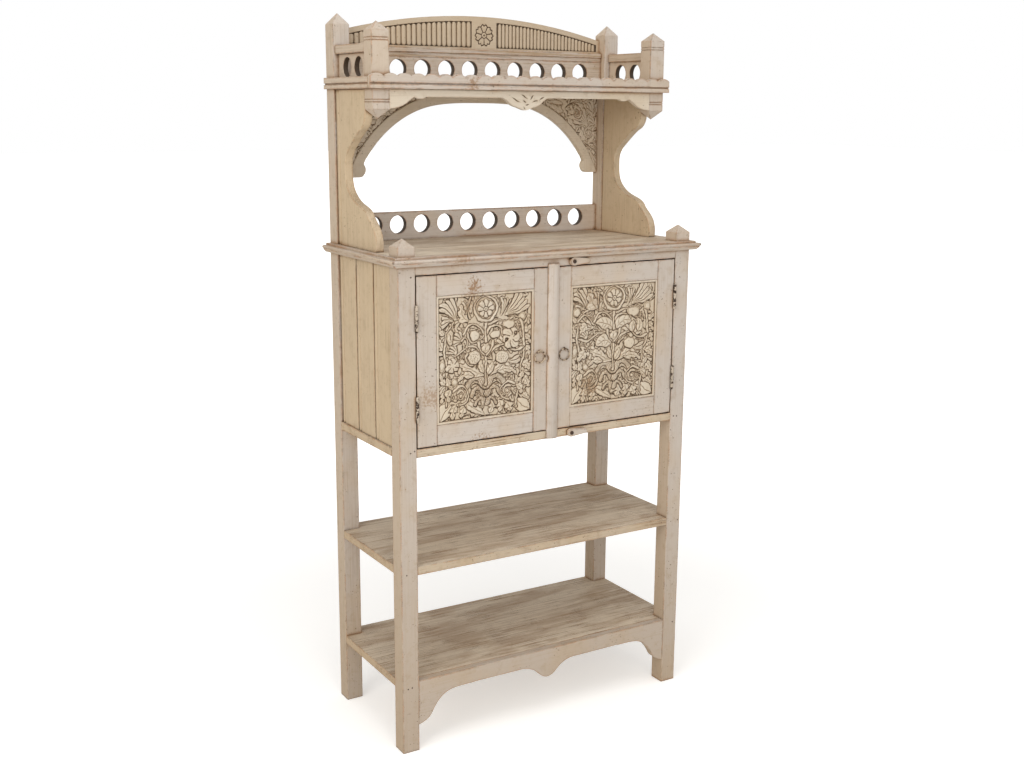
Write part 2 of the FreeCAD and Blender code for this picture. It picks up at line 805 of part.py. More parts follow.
def eye_radius():
    """Middle radius of the eye's loop."""
    return ring_wire_radius + eye_clearance + eye_wire_radius


def eye_y():
    """Distance of the eye's middle, which just touches the door."""
    return front - eye_radius() - eye_wire_radius


def ring_eye(x):
    """Loop of wire on the door, with its shank in the stile."""
    loop = Part.makeTorus(eye_radius(), eye_wire_radius, V(x, eye_y(), ring_top_height), V(1, 0, 0))
    shank = Part.makeCylinder(eye_wire_radius, eye_wire_radius + eye_shank,
                              V(x, front - eye_wire_radius, ring_top_height), V(0, 1, 0))
    return loop.fuse(shank)


def eye_bore(x):
    """Hole in the stile for the shank of an eye."""
    return Part.makeCylinder(eye_wire_radius, eye_shank + overrun,
                             V(x, front - overrun, ring_top_height), V(0, 1, 0))


def screw_bore(z):
    """Hole in the frame for the screw of a turn button."""
    return Part.makeCylinder(screw_radius, screw_depth + overrun, V(button_x, front - overrun, z),
                             V(0, 1, 0))


def turn_button(z):
    """Wooden button that turns on its screw, shown turned aside."""
    back = front - button_gap
    reach = button_length - button_tip_radius

    def place(x, up):
        return V(button_x + x, back - button_thickness, z + up)

    head = button_head_radius
    tip = button_tip_radius
    edges = [Part.Arc(place(0, head), place(-head, 0), place(0, -head)).toShape(),
             stretch([place(0, -head), place(reach, -tip)]),
             Part.Arc(place(reach, -tip), place(button_length, 0), place(reach, tip)).toShape(),
             stretch([place(reach, tip), place(0, head)])]
    solid = extruded(edges, V(0, button_thickness, 0))
    bore = Part.makeCylinder(screw_radius + screw_clearance, button_thickness + 2 * overrun,
                             V(button_x, back - button_thickness - overrun, z), V(0, 1, 0))
    return solid.cut(bore)


def button_screw(z):
    """Screw with a round head that holds a turn button."""
    under_head = front - 2 * button_gap - button_thickness
    shaft = Part.makeCylinder(screw_radius, front + screw_depth - under_head,
                              V(button_x, under_head, z), V(0, 1, 0))
    head = Part.makeCylinder(screw_head_radius, screw_head_height,
                             V(button_x, under_head - screw_head_height, z), V(0, 1, 0))
    return shaft.fuse(head).removeSplitter()


# Nail places: side, share of the post's width from its inner face, board's underside, its height,
# and share of that height
def nail_place_shares():
    """Where each nail sits on the front of a post."""
    floor = (cupboard_floor_underside, board)
    middle = (middle_shelf_top - board, board)
    lower = (lower_shelf_top - board, board)
    rail = (opening_top, top_rail_height)
    return [(1, 0.255, floor, 0.497), (1, 0.493, floor, 0.436), (1, 0.855, middle, 0.436),
            (1, 0.743, lower, 0.39), (-1, 0.362, floor, 0.656), (-1, 0.129, floor, 0.836),
            (-1, 0.676, middle, 0.251), (-1, 0.667, lower, 0.267), (-1, 0.419, lower, 0.328),
            (-1, 0.245, rail, -0.17)]


def nail_heads():
    """Heads of the nails in the fronts of the posts."""
    nails = []
    for side, across_share, level, up_share in nail_place_shares():
        x = side * (post_inner_x + across_share * post_side)
        z = level[0] + up_share * level[1]
        nails.append(Part.makeCylinder(nail_radius, nail_projection, V(x, front - nail_projection, z),
                                       V(0, 1, 0)))
    return Part.makeCompound(nails)


def carcass():
    """Posts, shelves, rails and panelling of the stand and cupboard."""
    eave = counter_top_height + finial_eave_rise
    left_moulding = counter_moulding_left()
    z = (counter_underside, counter_top_height)
    counter = block((-half_width, half_width), (front, half_depth), z).cut(four_post_notches(z))
    panelling = side_panelling()
    return {"front_left_post": post(-1, -1, eave, finial_peak_rise),
            "front_right_post": post(1, -1, eave, finial_peak_rise),
            "rear_left_post": post(-1, 1, rear_eave_height, rear_peak_rise),
            "rear_right_post": post(1, 1, rear_eave_height, rear_peak_rise),
            "lower_shelf": notched_shelf(lower_shelf_top, front + board),
            "middle_shelf": notched_shelf(middle_shelf_top, front),
            "cupboard_floor": cupboard_floor(),
            "lower_apron": lower_apron(),
            "top_rail": top_rail(),
            "left_side_panelling": panelling,
            "right_side_panelling": mirrored(panelling),
            "back_boards": back_boards(),
            "counter_top": counter,
            "counter_moulding_front": counter_moulding_front(),
            "counter_moulding_left": left_moulding,
            "counter_moulding_right": mirrored(left_moulding),
            "nail_heads": nail_heads()}


def top_unit():
    """Set-back shelf unit and its gallery."""
    left_side = upper_side_board()
    right_side = mirrored(left_side)
    right_side.translate(V(-right_side_board_shift, 0, 0))
    post_left = small_post()
    moulding = shelf_moulding_left()
    gallery = side_gallery()
    cap = side_cap()
    return {"left_upper_side_board": left_side,
            "right_upper_side_board": right_side,
            "lower_back_rail": pierced_rail(rail_front, counter_top_height,
                                            lower_back_rail_height, lower_hole_rise),
            "arch_board": arch_board(),
            "left_small_post": post_left,
            "right_small_post": mirrored(post_left),
            "upper_shelf": upper_shelf(),
            "upper_apron": upper_apron(),
            "scalloped_fascia": scalloped_fascia(),
            "left_shelf_moulding": moulding,
            "right_shelf_moulding": mirrored(moulding),
            "gallery_rail_rear": pierced_rail(gallery_rail_front, upper_shelf_top,
                                              gallery_height, gallery_hole_rise),
            "gallery_cap_rear": gallery_cap_rear(),
            "crest_board": crest_board(),
            "left_side_gallery": gallery,
            "right_side_gallery": mirrored(gallery),
            "left_side_cap": cap,
            "right_side_cap": mirrored(cap)}


def doors():
    """Both doors with their strip and ring pulls."""
    pieces = {}
    for end, shape in door_frame_pieces().items():
        bores = {"meeting_stile": (left_ring_x, right_ring_x)}.get(end)
        left = mirrored(shape)
        right = shape
        if bores:
            left = left.cut(eye_bore(bores[0]))
            right = right.cut(eye_bore(bores[1]))
        pieces["left_door_" + end] = left
        pieces["right_door_" + end] = right
    pieces["meeting_strip"] = meeting_strip()
    for side, x in (("left", left_ring_x), ("right", right_ring_x)):
        pieces[side + "_ring_eye"] = ring_eye(x)
        pieces[side + "_ring_pull"] = ring_pull(x)
    return pieces


def hinges_and_buttons():
    """Hinges, turn buttons and their screws."""
    frame_leaves = [hinge_leaf(bottom, True) for bottom in hinge_heights]
    door_leaves = [hinge_leaf(bottom, False) for bottom in hinge_heights]
    pins = [hinge_pin(bottom) for bottom in hinge_heights]
    return {"hinge_frame_leaves": Part.makeCompound(frame_leaves + [mirrored(leaf)
                                                                    for leaf in frame_leaves]),
            "right_hinge_door_leaves": Part.makeCompound(door_leaves),
            "left_hinge_door_leaves": Part.makeCompound([mirrored(leaf) for leaf in door_leaves]),
            "hinge_pins": Part.makeCompound(pins + [mirrored(pin) for pin in pins]),
            "top_turn_button": turn_button(top_button_height),
            "bottom_turn_button": turn_button(bottom_button_height),
            "turn_button_screws": Part.makeCompound([button_screw(top_button_height),
                                                     button_screw(bottom_button_height)])}


def export_all():
    """Write each node to its own file and print its size."""
    os.makedirs("parts", exist_ok=True)
    nodes = {}
    for group in (carcass(), top_unit(), doors(), hinges_and_buttons()):
        nodes.update(group)
    for name, shape in nodes.items():
        shape.translate(V(0, moulding_overhang / 2, 0))
        shape.exportStep("parts/" + name + ".step")
        print(name, len(shape.Solids), "valid" if shape.isValid() else "NOT VALID",
              round(shape.Volume))
    print(len(nodes), "nodes")


export_all()
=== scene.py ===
"""Worn painted trastero cabinet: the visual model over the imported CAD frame.

Lengths are in millimetres unless a name says otherwise. X is the cabinet's width, -Y is its front and
Z is up, as in the frame.
"""

import json
import logging
import math
from contextlib import contextmanager
from dataclasses import dataclass, field, fields, replace
from enum import Enum
from typing import Any, Callable, Iterator, Optional, Sequence

import bmesh
import bpy
import numpy as np
from mathutils import Matrix, Vector

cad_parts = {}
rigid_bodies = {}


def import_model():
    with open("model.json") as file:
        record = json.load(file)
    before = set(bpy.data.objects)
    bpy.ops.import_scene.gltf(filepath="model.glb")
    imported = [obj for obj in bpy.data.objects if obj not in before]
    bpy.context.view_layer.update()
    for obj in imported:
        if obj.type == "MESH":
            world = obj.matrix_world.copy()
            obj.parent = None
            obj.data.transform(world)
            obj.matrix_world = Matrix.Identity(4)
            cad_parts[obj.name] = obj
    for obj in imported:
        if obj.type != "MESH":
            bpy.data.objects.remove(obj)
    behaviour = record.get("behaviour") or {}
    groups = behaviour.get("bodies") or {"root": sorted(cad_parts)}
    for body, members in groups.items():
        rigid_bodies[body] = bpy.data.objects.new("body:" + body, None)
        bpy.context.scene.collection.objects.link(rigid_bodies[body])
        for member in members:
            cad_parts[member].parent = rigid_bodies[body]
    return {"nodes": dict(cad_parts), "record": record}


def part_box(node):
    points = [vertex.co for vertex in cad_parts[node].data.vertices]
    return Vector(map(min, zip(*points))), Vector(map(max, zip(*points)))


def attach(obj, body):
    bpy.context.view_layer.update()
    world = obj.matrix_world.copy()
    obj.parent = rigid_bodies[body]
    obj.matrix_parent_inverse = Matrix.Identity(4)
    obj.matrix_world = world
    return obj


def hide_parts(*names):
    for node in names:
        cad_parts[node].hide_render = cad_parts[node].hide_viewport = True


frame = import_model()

logging.basicConfig(level=logging.INFO, format="%(levelname)s %(message)s")
log = logging.getLogger("trastero")

MM = 0.001
# Points nearer than this, in millimetres, are one
WELD = 0.01
# Degrees within which faces are one, past which an edge is rounded, and past which shading breaks
FLAT_WITHIN = 0.5
ROUNDED_PAST = 28.0
CREASED_PAST = 60.0
Point = tuple[float, float]
# Axis number, middle and radius of a round hole
Hole = tuple[int, np.ndarray, float]


class Slot(Enum):
    """Material slots of the record."""

    CREAM = "cream_paint"
    SHELF = "worn_shelf_paint"
    SIDE = "warm_side_paint"
    CARVED = "carved_paint"
    BARE = "bare_wood"
    HINGE = "hinge_paint"
    RING = "ring_iron"
    NAIL = "nail_iron"


# Colour and nodes


def linear(hex_colour: str) -> tuple[float, float, float, float]:
    """Linear RGBA of an sRGB colour.

    Args:
        hex_colour: Colour as "#rrggbb".

    Returns:
        Red, green, blue and an alpha of one.
    """
    channels = [int(hex_colour[index:index + 2], 16) / 255 for index in (1, 3, 5)]
    red, green, blue = (c / 12.92 if c <= 0.04045 else ((c + 0.055) / 1.055) ** 2.4 for c in channels)
    return red, green, blue, 1.0


def add_node(
    tree: bpy.types.NodeTree,
    kind: str,
    settings: Optional[dict[str, Any]] = None,
    inputs: Optional[dict[Any, Any]] = None,
) -> bpy.types.Node:
    """Adds one node with its settings and incoming links.

    Args:
        tree: Node tree that takes the node.
        kind: Blender's name for the node type.
        settings: Node properties by name.
        inputs: Values or output sockets by the input's name or index.

    Returns:
        The new node.
    """
    node = tree.nodes.new(kind)
    for name, value in (settings or {}).items():
        setattr(node, name, value)
    for key, value in (inputs or {}).items():
        socket = node.inputs[key]
        if isinstance(value, bpy.types.NodeSocket):
            tree.links.new(value, socket)
        else:
            socket.default_value = value
    return node


class Tree:
    """Node tree that is being built."""

    tree: bpy.types.NodeTree

    def node(self, kind: str, settings: Optional[dict[str, Any]] = None,
             inputs: Optional[dict[Any, Any]] = None) -> bpy.types.Node:
        """Adds a node to this tree."""
        return add_node(self.tree, kind, settings, inputs)

    def math(self, operation: str, first: Any, second: Any = 0.0) -> Any:
        """Scalar maths."""
        return self.node("ShaderNodeMath", {"operation": operation}, {0: first, 1: second}).outputs[0]

    def plus(self, first: Any, second: Any) -> Any:
        """Sum of two values."""
        return self.math("ADD", first, second)

    def less(self, first: Any, second: Any) -> Any:
        """First value less the second."""
        return self.math("SUBTRACT", first, second)

    def times(self, first: Any, second: Any) -> Any:
        """Product of two values."""
        return self.math("MULTIPLY", first, second)


class Shader(Tree):
    """Small vocabulary for a material's node tree."""

    def __init__(self, name: str) -> None:
        """Starts an empty material that knows each place in millimetres.

        Args:
            name: Name of the material.
        """
        self.material = bpy.data.materials.new(name)
        self.material.use_nodes = True
        self.tree = self.material.node_tree
        self.tree.nodes.clear()
        place = self.node("ShaderNodeTexCoord")
        self.position = self.vector("SCALE", place.outputs["Object"], Scale=1 / MM)
        self.normal = place.outputs["Normal"]

    def vector(self, operation: str, first: Any, second: Any = None, **named: Any) -> Any:
        """Vector maths on one or two vectors.

        Args:
            operation: Blender's name for the operation.
            first: First vector.
            second: Second vector, where the operation takes one.
            named: Further inputs by name.

        Returns:
            Socket of the result, a value for a product or a length.
        """
        inputs: dict[Any, Any] = {0: first}
        if second is not None:
            inputs[1] = second
        inputs.update(named)
        node = self.node("ShaderNodeVectorMath", {"operation": operation}, inputs)
        return node.outputs["Value" if operation in ("DOT_PRODUCT", "LENGTH") else "Vector"]

    def band(self, value: Any, low: float, high: float, top: float = 1.0) -> Any:
        """Smooth step of a value from zero at low to top at high."""
        inputs = {"Value": value, "From Min": low, "From Max": high, "To Min": 0.0, "To Max": top}
        return self.node("ShaderNodeMapRange", {"interpolation_type": "SMOOTHSTEP"}, inputs).outputs["Result"]

    def mix(self, amount: Any, first: Any, second: Any, blend: str = "MIX") -> Any:
        """Mix of two colours.

        Args:
            amount: Share of the second colour.
            first: First colour, as a socket or "#rrggbb".
            second: Second colour, as a socket or "#rrggbb".
            blend: Blender's name for the way to mix.

        Returns:
            Colour socket of the result.
        """
        settings = {"data_type": "RGBA", "blend_type": blend, "clamp_factor": True}
        node = self.node("ShaderNodeMix", settings, {"Factor": amount})
        for socket, value in zip([s for s in node.inputs if s.type == "RGBA"], (first, second)):
            if isinstance(value, bpy.types.NodeSocket):
                self.tree.links.new(value, socket)
            else:
                socket.default_value = linear(value)
        return next(s for s in node.outputs if s.type == "RGBA")

    def noise(self, vector: Any, size: float, detail: float = 3.0, rough: float = 0.55,
              warp: float = 0.0) -> Any:
        """Noise whose coarsest lumps are about size millimetres."""
        inputs = {"Vector": vector, "Scale": 1.0 / size, "Detail": detail, "Roughness": rough,
                  "Distortion": warp}
        return self.node("ShaderNodeTexNoise", None, inputs).outputs[0]

    def grain(self, length: float, across: float, detail: float = 3.0) -> Any:
        """Noise stretched along each board's own grain.

        Args:
            length: Length of a streak.
            across: Width of a streak.
            detail: Number of finer layers.

        Returns:
            Socket with values about a half.
        """
        scaled = self.vector("MULTIPLY", self.attribute("board", vector=True),
                             (1.0 / length, 1.0 / across, 1.0 / across))
        return self.noise(scaled, 1.0, detail, 0.6, 0.35)

    def attribute(self, name: str, vector: bool = False) -> Any:
        """Value of the mesh's own attribute."""
        node = self.node("ShaderNodeAttribute", {"attribute_name": name})
        return node.outputs["Vector" if vector else "Fac"]

    def axis(self, vector: Any, index: int) -> Any:
        """One component of a vector."""
        return self.node("ShaderNodeSeparateXYZ", None, {0: vector}).outputs[index]

    def bump(self, height: Any, distance: float, strength: float = 1.0, normal: Any = None) -> Any:
        """Bumped normal from a height of zero to one over a distance in millimetres.

        Args:
            height: Height from zero to one.
            distance: Depth that a height of one stands for.
            strength: Share of the bump that shows.
            normal: Normal to bump, or None for the surface's own.

        Returns:
            Socket of the bumped normal.
        """
        inputs = {"Height": height, "Distance": distance * MM, "Strength": strength}
        if normal is not None:
            inputs["Normal"] = normal
        return self.node("ShaderNodeBump", None, inputs).outputs["Normal"]

    def finish(self, colour: Any, roughness: Any, normal: Any = None, metallic: Any = 0.0,
               specular: float = 0.35) -> bpy.types.Material:
        """Closes the tree with one surface and gives the material back.

        Args:
            colour: Base colour.
            roughness: Roughness.
            normal: Normal, or None for the surface's own.
            metallic: Share of bare metal.
            specular: Level of the plain reflection.

        Returns:
            The finished material.
        """
        inputs = {"Base Color": colour, "Roughness": roughness, "Metallic": metallic,
                  "Specular IOR Level": specular}
        if normal is not None:
            inputs["Normal"] = normal
        surface = self.node("ShaderNodeBsdfPrincipled", None, inputs)
        self.node("ShaderNodeOutputMaterial", None, {"Surface": surface.outputs[0]})
        return self.material


# Finishes


@dataclass(frozen=True)
class Stain:
    """Ragged brown stain round one place of the cabinet."""

    centre: tuple[float, float, float]
    radius: float
    share: float


@dataclass(frozen=True)
class PaintedWood:
    """Worn, hand-rubbed paint over softwood.

    Colours are sRGB, sizes are in millimetres and shares are from zero to one.
    """

    name: str
    paint: str = "#c6bbb0"
    warm: str = "#c6b29a"
    glaze: str = "#a48b6c"
    chalk: str = "#e6dac6"
    wood: str = "#a8744b"
    dark: str = "#5f4933"
    stain: str = "#a9794a"
    knot: str = "#8a6238"
    deep: str = "#33271c"
    grain: float = 0.14
    top_grain: float = 0.8
    blotch: float = 0.0
    patch: float = 70.0
    edge_wear: float = 0.85
    dirt: float = 0.8
    low_grime: float = 0.42
    bleach: float = 0.0
    roughness: float = 0.62
    stains: tuple[Stain, ...] = ()
    cloud_size: float = 150.0
    mottle_size: float = 22.0
    rag_size: float = 11.0
    speckle_size: float = 5.0
    pit_size: float = 4.6
    joint_reach: float = 12.0
    arris: float = 6.0
    grime_height: float = 800.0

    def build(self) -> bpy.types.Material:
        """Makes the material.

        Returns:
            The material.
        """
        s = Shader(self.name)
        up = s.band(s.axis(s.normal, 2), 0.6, 0.9)
        sideways = s.band(s.math("ABSOLUTE", s.axis(s.normal, 0)), 0.5, 0.85, 0.8)
        clouds = s.noise(s.position, self.cloud_size, 2.0)
        mottle = s.noise(s.position, self.mottle_size, 4.0, 0.65)
        tone = s.attribute("tone")

        # Paint warms in clouds, and the side faces take the warm tint by their facing as painted shade
        colour = s.mix(s.times(s.band(clouds, 0.42, 0.68), 0.6), self.paint, self.warm)
        colour = s.mix(sideways, colour, self.warm)
        colour = s.mix(s.band(mottle, 0.5, 0.75, 0.35), colour, self.glaze)
        colour = s.mix(s.band(tone, 0.2, 1.0, 0.18), colour, self.glaze)
        # Darker towards the floor, mixed to the glaze colour
        near_floor = s.band(s.axis(s.position, 2), self.grime_height, 0.0, self.low_grime)
        colour = s.mix(near_floor, colour, self.glaze)
        # Tops made paler by a painted light
        colour = s.mix(s.times(up, self.bleach), colour, self.chalk)

        # Brush drags and the open grain that shows where the paint is thin
        streaks = s.grain(260.0, 3.2)
        lines = s.grain(70.0, 0.9, 4.0)
        patches = s.noise(s.position, self.patch, 4.0, 0.6)
        thin = s.plus(s.band(patches, 0.44, 0.62, self.grain), s.times(up, self.top_grain))
        thin = s.plus(thin, s.attribute("rubbed"))
        blotch = s.times(s.plus(up, s.attribute("rubbed")),
                         s.band(s.grain(240.0, 55.0, 5.0), 0.42, 0.62, self.blotch))
        colour = s.mix(blotch, colour, self.glaze)
        colour = s.mix(s.times(s.band(streaks, 0.48, 0.72), s.plus(thin, 0.18)), colour, self.glaze)
        colour = s.mix(s.times(s.band(lines, 0.55, 0.66, 0.9), thin), colour, self.dark)

        # Orange stain gathers in the joints; the brown there is dirt and painted shade, and the tightest gaps
        # go near-black as painted shadow
        room = s.node("ShaderNodeAmbientOcclusion", {"samples": 6},
                      {"Distance": self.joint_reach * MM}).outputs["AO"]
        ragged = s.noise(s.position, self.rag_size, 5.0, 0.7)
        stain = s.times(s.band(room, 0.86, 0.5), s.band(clouds, 0.42, 0.56, 0.8))
        colour = s.mix(stain, colour, self.stain)
        dirt_and_shade_mask = s.times(s.band(room, 0.8, 0.3), s.plus(s.band(ragged, 0.3, 0.62, 0.6), 0.4))
        colour = s.mix(s.times(dirt_and_shade_mask, self.dirt), colour, self.dark)
        colour = s.mix(s.band(room, 0.46, 0.16, 0.92), colour, self.deep)

        # Arrises rubbed through in runs, to orange wood here and old brown there
        rounded = s.node("ShaderNodeBevel", {"samples": 6}, {"Radius": self.arris * MM}).outputs[0]
        plain = s.node("ShaderNodeNewGeometry").outputs["Normal"]
        turn = s.vector("DOT_PRODUCT", rounded, plain)
        sharp = s.times(s.band(turn, 0.995, 0.88), s.band(room, 0.55, 0.85))
        runs = s.grain(60.0, 14.0, 5.0)
        worn = s.times(sharp, s.band(runs, 0.4, 0.52, self.edge_wear))
        rubbed = s.mix(s.band(ragged, 0.46, 0.6), self.wood, self.dark)
        colour = s.mix(worn, colour, rubbed)

        # Worm holes and small knocks, two or three millimetres across
        pits = s.times(s.band(s.noise(s.position, self.pit_size, 1.0), 0.7, 0.74),
                       s.band(s.noise(s.position, 60.0, 2.0), 0.46, 0.6, 0.85))
        colour = s.mix(pits, colour, self.dark)

        # Speckled stains where damp or a knot has come through
        speckle = s.noise(s.position, self.speckle_size, 4.0, 0.7)
        for spot in self.stains:
            away = s.vector("LENGTH", s.vector("SUBTRACT", s.position, spot.centre))
            near = s.plus(s.band(away, spot.radius, 0.0, 0.3), speckle)
            colour = s.mix(s.band(near, 0.66, 0.82, spot.share), colour, self.knot)

        # Old wax: a veil over the cut ground, dark in the lines round the forms, where it is partly painted
        # shade; the deepest cuts, hole walls and door gaps go near-black as painted shadow
        recess = s.attribute("recess")
        veil = s.band(recess, 0.08, 0.42, 0.6)
        colour = s.mix(veil, colour, self.glaze)
        waxed = s.times(s.band(recess, 0.4, 0.85, 0.9), s.plus(s.band(ragged, 0.25, 0.6, 0.35), 0.65))
        colour = s.mix(waxed, colour, self.dark)
        colour = s.mix(s.band(recess, 0.85, 1.2, 0.8), colour, self.deep)

        # Brush marks, open grain and worn arrises under the finger
        height = s.plus(s.times(streaks, 0.5), s.times(lines, 0.35))
        height = s.plus(height, s.times(ragged, veil))
        normal = s.bump(height, 0.28, 0.55)
        normal = s.bump(s.less(mottle, s.times(worn, 0.6)), 0.35, 0.35, normal)
        rough = s.plus(s.times(mottle, 0.22), self.roughness - 0.08)
        return s.finish(colour, rough, normal)


@dataclass(frozen=True)
class ForgedIron:
    """Old iron, with rust in its noise and some paint left on it."""

    name: str
    metal: str = "#3b3330"
    rust: str = "#6b4630"
    paint: str = "#b9aa96"
    painted: float = 0.0
    metallic: float = 0.7

    def build(self) -> bpy.types.Material:
        """Makes the material.

        Returns:
            The material.
        """
        s = Shader(self.name)
        pits = s.noise(s.position, 2.2, 5.0, 0.7)
        blots = s.noise(s.position, 7.0, 4.0, 0.65)
        colour = s.mix(s.band(pits, 0.45, 0.7), self.metal, self.rust)
        # Paint stays off the occluded hollows, so dark iron shows there as painted shade
        room = s.node("ShaderNodeAmbientOcclusion", {"samples": 6}, {"Distance": 3.0 * MM}).outputs["AO"]
        cover = s.times(s.band(blots, 0.62 - self.painted * 0.4, 0.66 - self.painted * 0.36),
                        s.band(room, 0.35, 0.8, 1.0 if self.painted else 0.0))
        colour = s.mix(cover, colour, self.paint)
        metal = s.times(s.less(1.0, cover), self.metallic)
        normal = s.bump(s.plus(pits, s.times(cover, 0.8)), 0.12, 0.7)
        return s.finish(colour, s.plus(s.times(pits, 0.3), 0.38), normal, metal, 0.5)


# Greyed cream house paint, rubbed back by hand: matt, cream with brown only at joints and edges
CREAM_PAINT = PaintedWood("greyed_cream_paint", stains=(
    Stain((-175, 150, 1578), 34, 0.9), Stain((-150, -70, 1534), 40, 0.7),
    Stain((-190, -180, 722), 60, 0.8), Stain((-210, -180, 1092), 50, 0.8),
    Stain((-322, -180, 850), 60, 0.5), Stain((-250, -190, 1163), 60, 0.4)))
# The same paint worn through on shelf tops: long brown grain streaks with cream left between, and the tops
# made paler by a painted light
SHELF_PAINT = PaintedWood("worn_through_shelf_paint", paint="#c8b79f", warm="#c3ab8a",
                          glaze="#97795a", grain=1.0, top_grain=0.5, patch=90.0, blotch=0.55,
                          low_grime=0.1, bleach=0.45)
# Side boards yellowed by sun: even warm beige with quiet vertical streaks
SIDE_PAINT = PaintedWood("sun_warmed_side_paint", paint="#c6b297", warm="#c8b190", grain=0.4,
                         dirt=0.85)
# Orange-brown damp marks on the carvings
CARVING_STAINS = (Stain((-215, -180, 1065), 70, 0.6), Stain((-190, -180, 850), 80, 0.45),
                  Stain((110, -180, 830), 60, 0.8), Stain((118, -180, 1040), 70, 0.5))
# Carvings filled with old brown wax: cream ridges, tan grounds and thin near-black lines that are wax and
# painted shade
CARVED_PAINT = PaintedWood("waxed_carving_paint", paint="#d3c6b3", warm="#d0bea3", glaze="#ad9678",
                           edge_wear=0.3, dirt=0.45, low_grime=0.0, stains=CARVING_STAINS)
# Unpainted softwood of the cupboard's back: dry, brown and matt, with dark open grain
BARE_WOOD = PaintedWood("bare_backing_pine", paint="#a48561", warm="#9d7c58", glaze="#7d5f41", grain=0.9,
                        top_grain=0.5, roughness=0.75)
# Butt hinges painted over with the doors: cream, with dark iron showing in the knuckle gaps as painted shade
HINGE_PAINT = ForgedIron("painted_over_hinge_iron", metal="#2f2824", paint="#b7a895", painted=0.42)
# Ring pulls once painted with the doors: tan over dark brown, rubbed off in patches, with dark iron showing
# in their hollows as painted shade
RING_IRON = ForgedIron("paint_rubbed_ring_iron", metal="#4d3d30", rust="#7a5a3e",
                       paint="#b8a48a", painted=0.4, metallic=0.45)
# Nail and screw heads: small, dark and rusty
NAIL_IRON = ForgedIron("rusted_nail_iron", metal="#3a302a", rust="#5f412c", metallic=0.4)

FINISHES: dict[Slot, PaintedWood | ForgedIron] = {
    Slot.CREAM: CREAM_PAINT, Slot.SHELF: SHELF_PAINT, Slot.SIDE: SIDE_PAINT, Slot.CARVED: CARVED_PAINT,
    Slot.BARE: BARE_WOOD, Slot.HINGE: HINGE_PAINT, Slot.RING: RING_IRON, Slot.NAIL: NAIL_IRON,
}


# Meshes


def show(name: str, mesh: bpy.types.Mesh) -> bpy.types.Object:
    """Links a new object for a mesh into the scene.

    Args:
        name: Name of the object.
        mesh: Its mesh.

    Returns:
        The new object.
    """
    made = bpy.data.objects.new(name, mesh)
    bpy.context.scene.collection.objects.link(made)
    return made


def mesh_of(name: str, places: Any, faces: Sequence[Sequence[int]]) -> bpy.types.Mesh:
    """New mesh in metres.

    Args:
        name: Name of the mesh.
        places: Its vertices in millimetres.
        faces: Numbers of the vertices round each face.

    Returns:
        The mesh.
    """
    mesh = bpy.data.meshes.new(name)
    mesh.from_pydata((np.array(places) * MM).tolist(), [], faces)
    return mesh


@contextmanager
def editing(mesh: bpy.types.Mesh) -> Iterator[bmesh.types.BMesh]:
    """Opens a mesh for editing and writes it back at the end.

    Args:
        mesh: Mesh to edit.

    Returns:
        Its editable form, for the length of a with block.
    """
    edit = bmesh.new()
    edit.from_mesh(mesh)
    yield edit
    edit.to_mesh(mesh)
    edit.free()


def store(mesh: bpy.types.Mesh, name: str, values: np.ndarray, domain: str = "POINT") -> None:
    """Stores a number for each vertex or face.

    Args:
        mesh: Mesh that takes them.
        name: Name of the attribute.
        values: The numbers.
        domain: "POINT" for vertices or "FACE" for faces.
    """
    data = mesh.attributes.new(name, "FLOAT", domain).data
    data.foreach_set("value", np.asarray(values, np.float32))


def node_mesh(node: str) -> bpy.types.Mesh:
    """Welded copy of a CAD node's mesh, in metres in the row frame.

    Args:
        node: Name of the CAD node.

    Returns:
        The copy, free of doubled points and flat creases.
    """
    source = frame["nodes"][node]
    mesh = source.data.copy()
    mesh.transform(source.matrix_world)
    with editing(mesh) as edit:
        bmesh.ops.remove_doubles(edit, verts=edit.verts, dist=WELD * MM)
        bmesh.ops.dissolve_limit(edit, angle_limit=math.radians(FLAT_WITHIN), verts=edit.verts,
                                 edges=edit.edges)
    return mesh


def settled(made: bpy.types.Object) -> None:
    """Applies an object's modifiers and removes them.

    Args:
        made: Object whose modifiers are applied.
    """
    bpy.context.view_layer.update()
    graph = bpy.context.evaluated_depsgraph_get()
    mesh = bpy.data.meshes.new_from_object(made.evaluated_get(graph), preserve_all_data_layers=True,
                                           depsgraph=graph)
    made.modifiers.clear()
    made.data = mesh


def islands(mesh: bpy.types.Mesh) -> np.ndarray:
    """Number of the loose part that each vertex belongs to.

    Args:
        mesh: Mesh with one or more loose parts.

    Returns:
        One label for each vertex.
    """
    label = np.arange(len(mesh.vertices))
    edges = np.zeros(len(mesh.edges) * 2, np.int64)
    mesh.edges.foreach_get("vertices", edges)
    first, second = edges.reshape(-1, 2).T
    while True:
        low = np.minimum(label[first], label[second])
        before = label.copy()
        np.minimum.at(label, first, low)
        np.minimum.at(label, second, low)
        label = label[label]
        if np.array_equal(before, label):
            return label


def vertices_of(mesh: bpy.types.Mesh) -> np.ndarray:
    """Vertices of a mesh in metres, one per row.

    Args:
        mesh: Mesh to read.

    Returns:
        Array of places.
    """
    flat = np.zeros(len(mesh.vertices) * 3, np.float32)
    mesh.vertices.foreach_get("co", flat)
    return flat.reshape(-1, 3).astype(float)


def faces_of(mesh: bpy.types.Mesh) -> tuple[np.ndarray, np.ndarray]:
    """Middle of each face in millimetres, and its normal.

    Args:
        mesh: Mesh to read, in metres.

    Returns:
        Two arrays with one row for each face.
    """
    count = len(mesh.polygons)
    middles, normals = np.zeros(count * 3, np.float32), np.zeros(count * 3, np.float32)
    mesh.polygons.foreach_get("center", middles)
    mesh.polygons.foreach_get("normal", normals)
    return middles.reshape(-1, 3) / MM, normals.reshape(-1, 3)


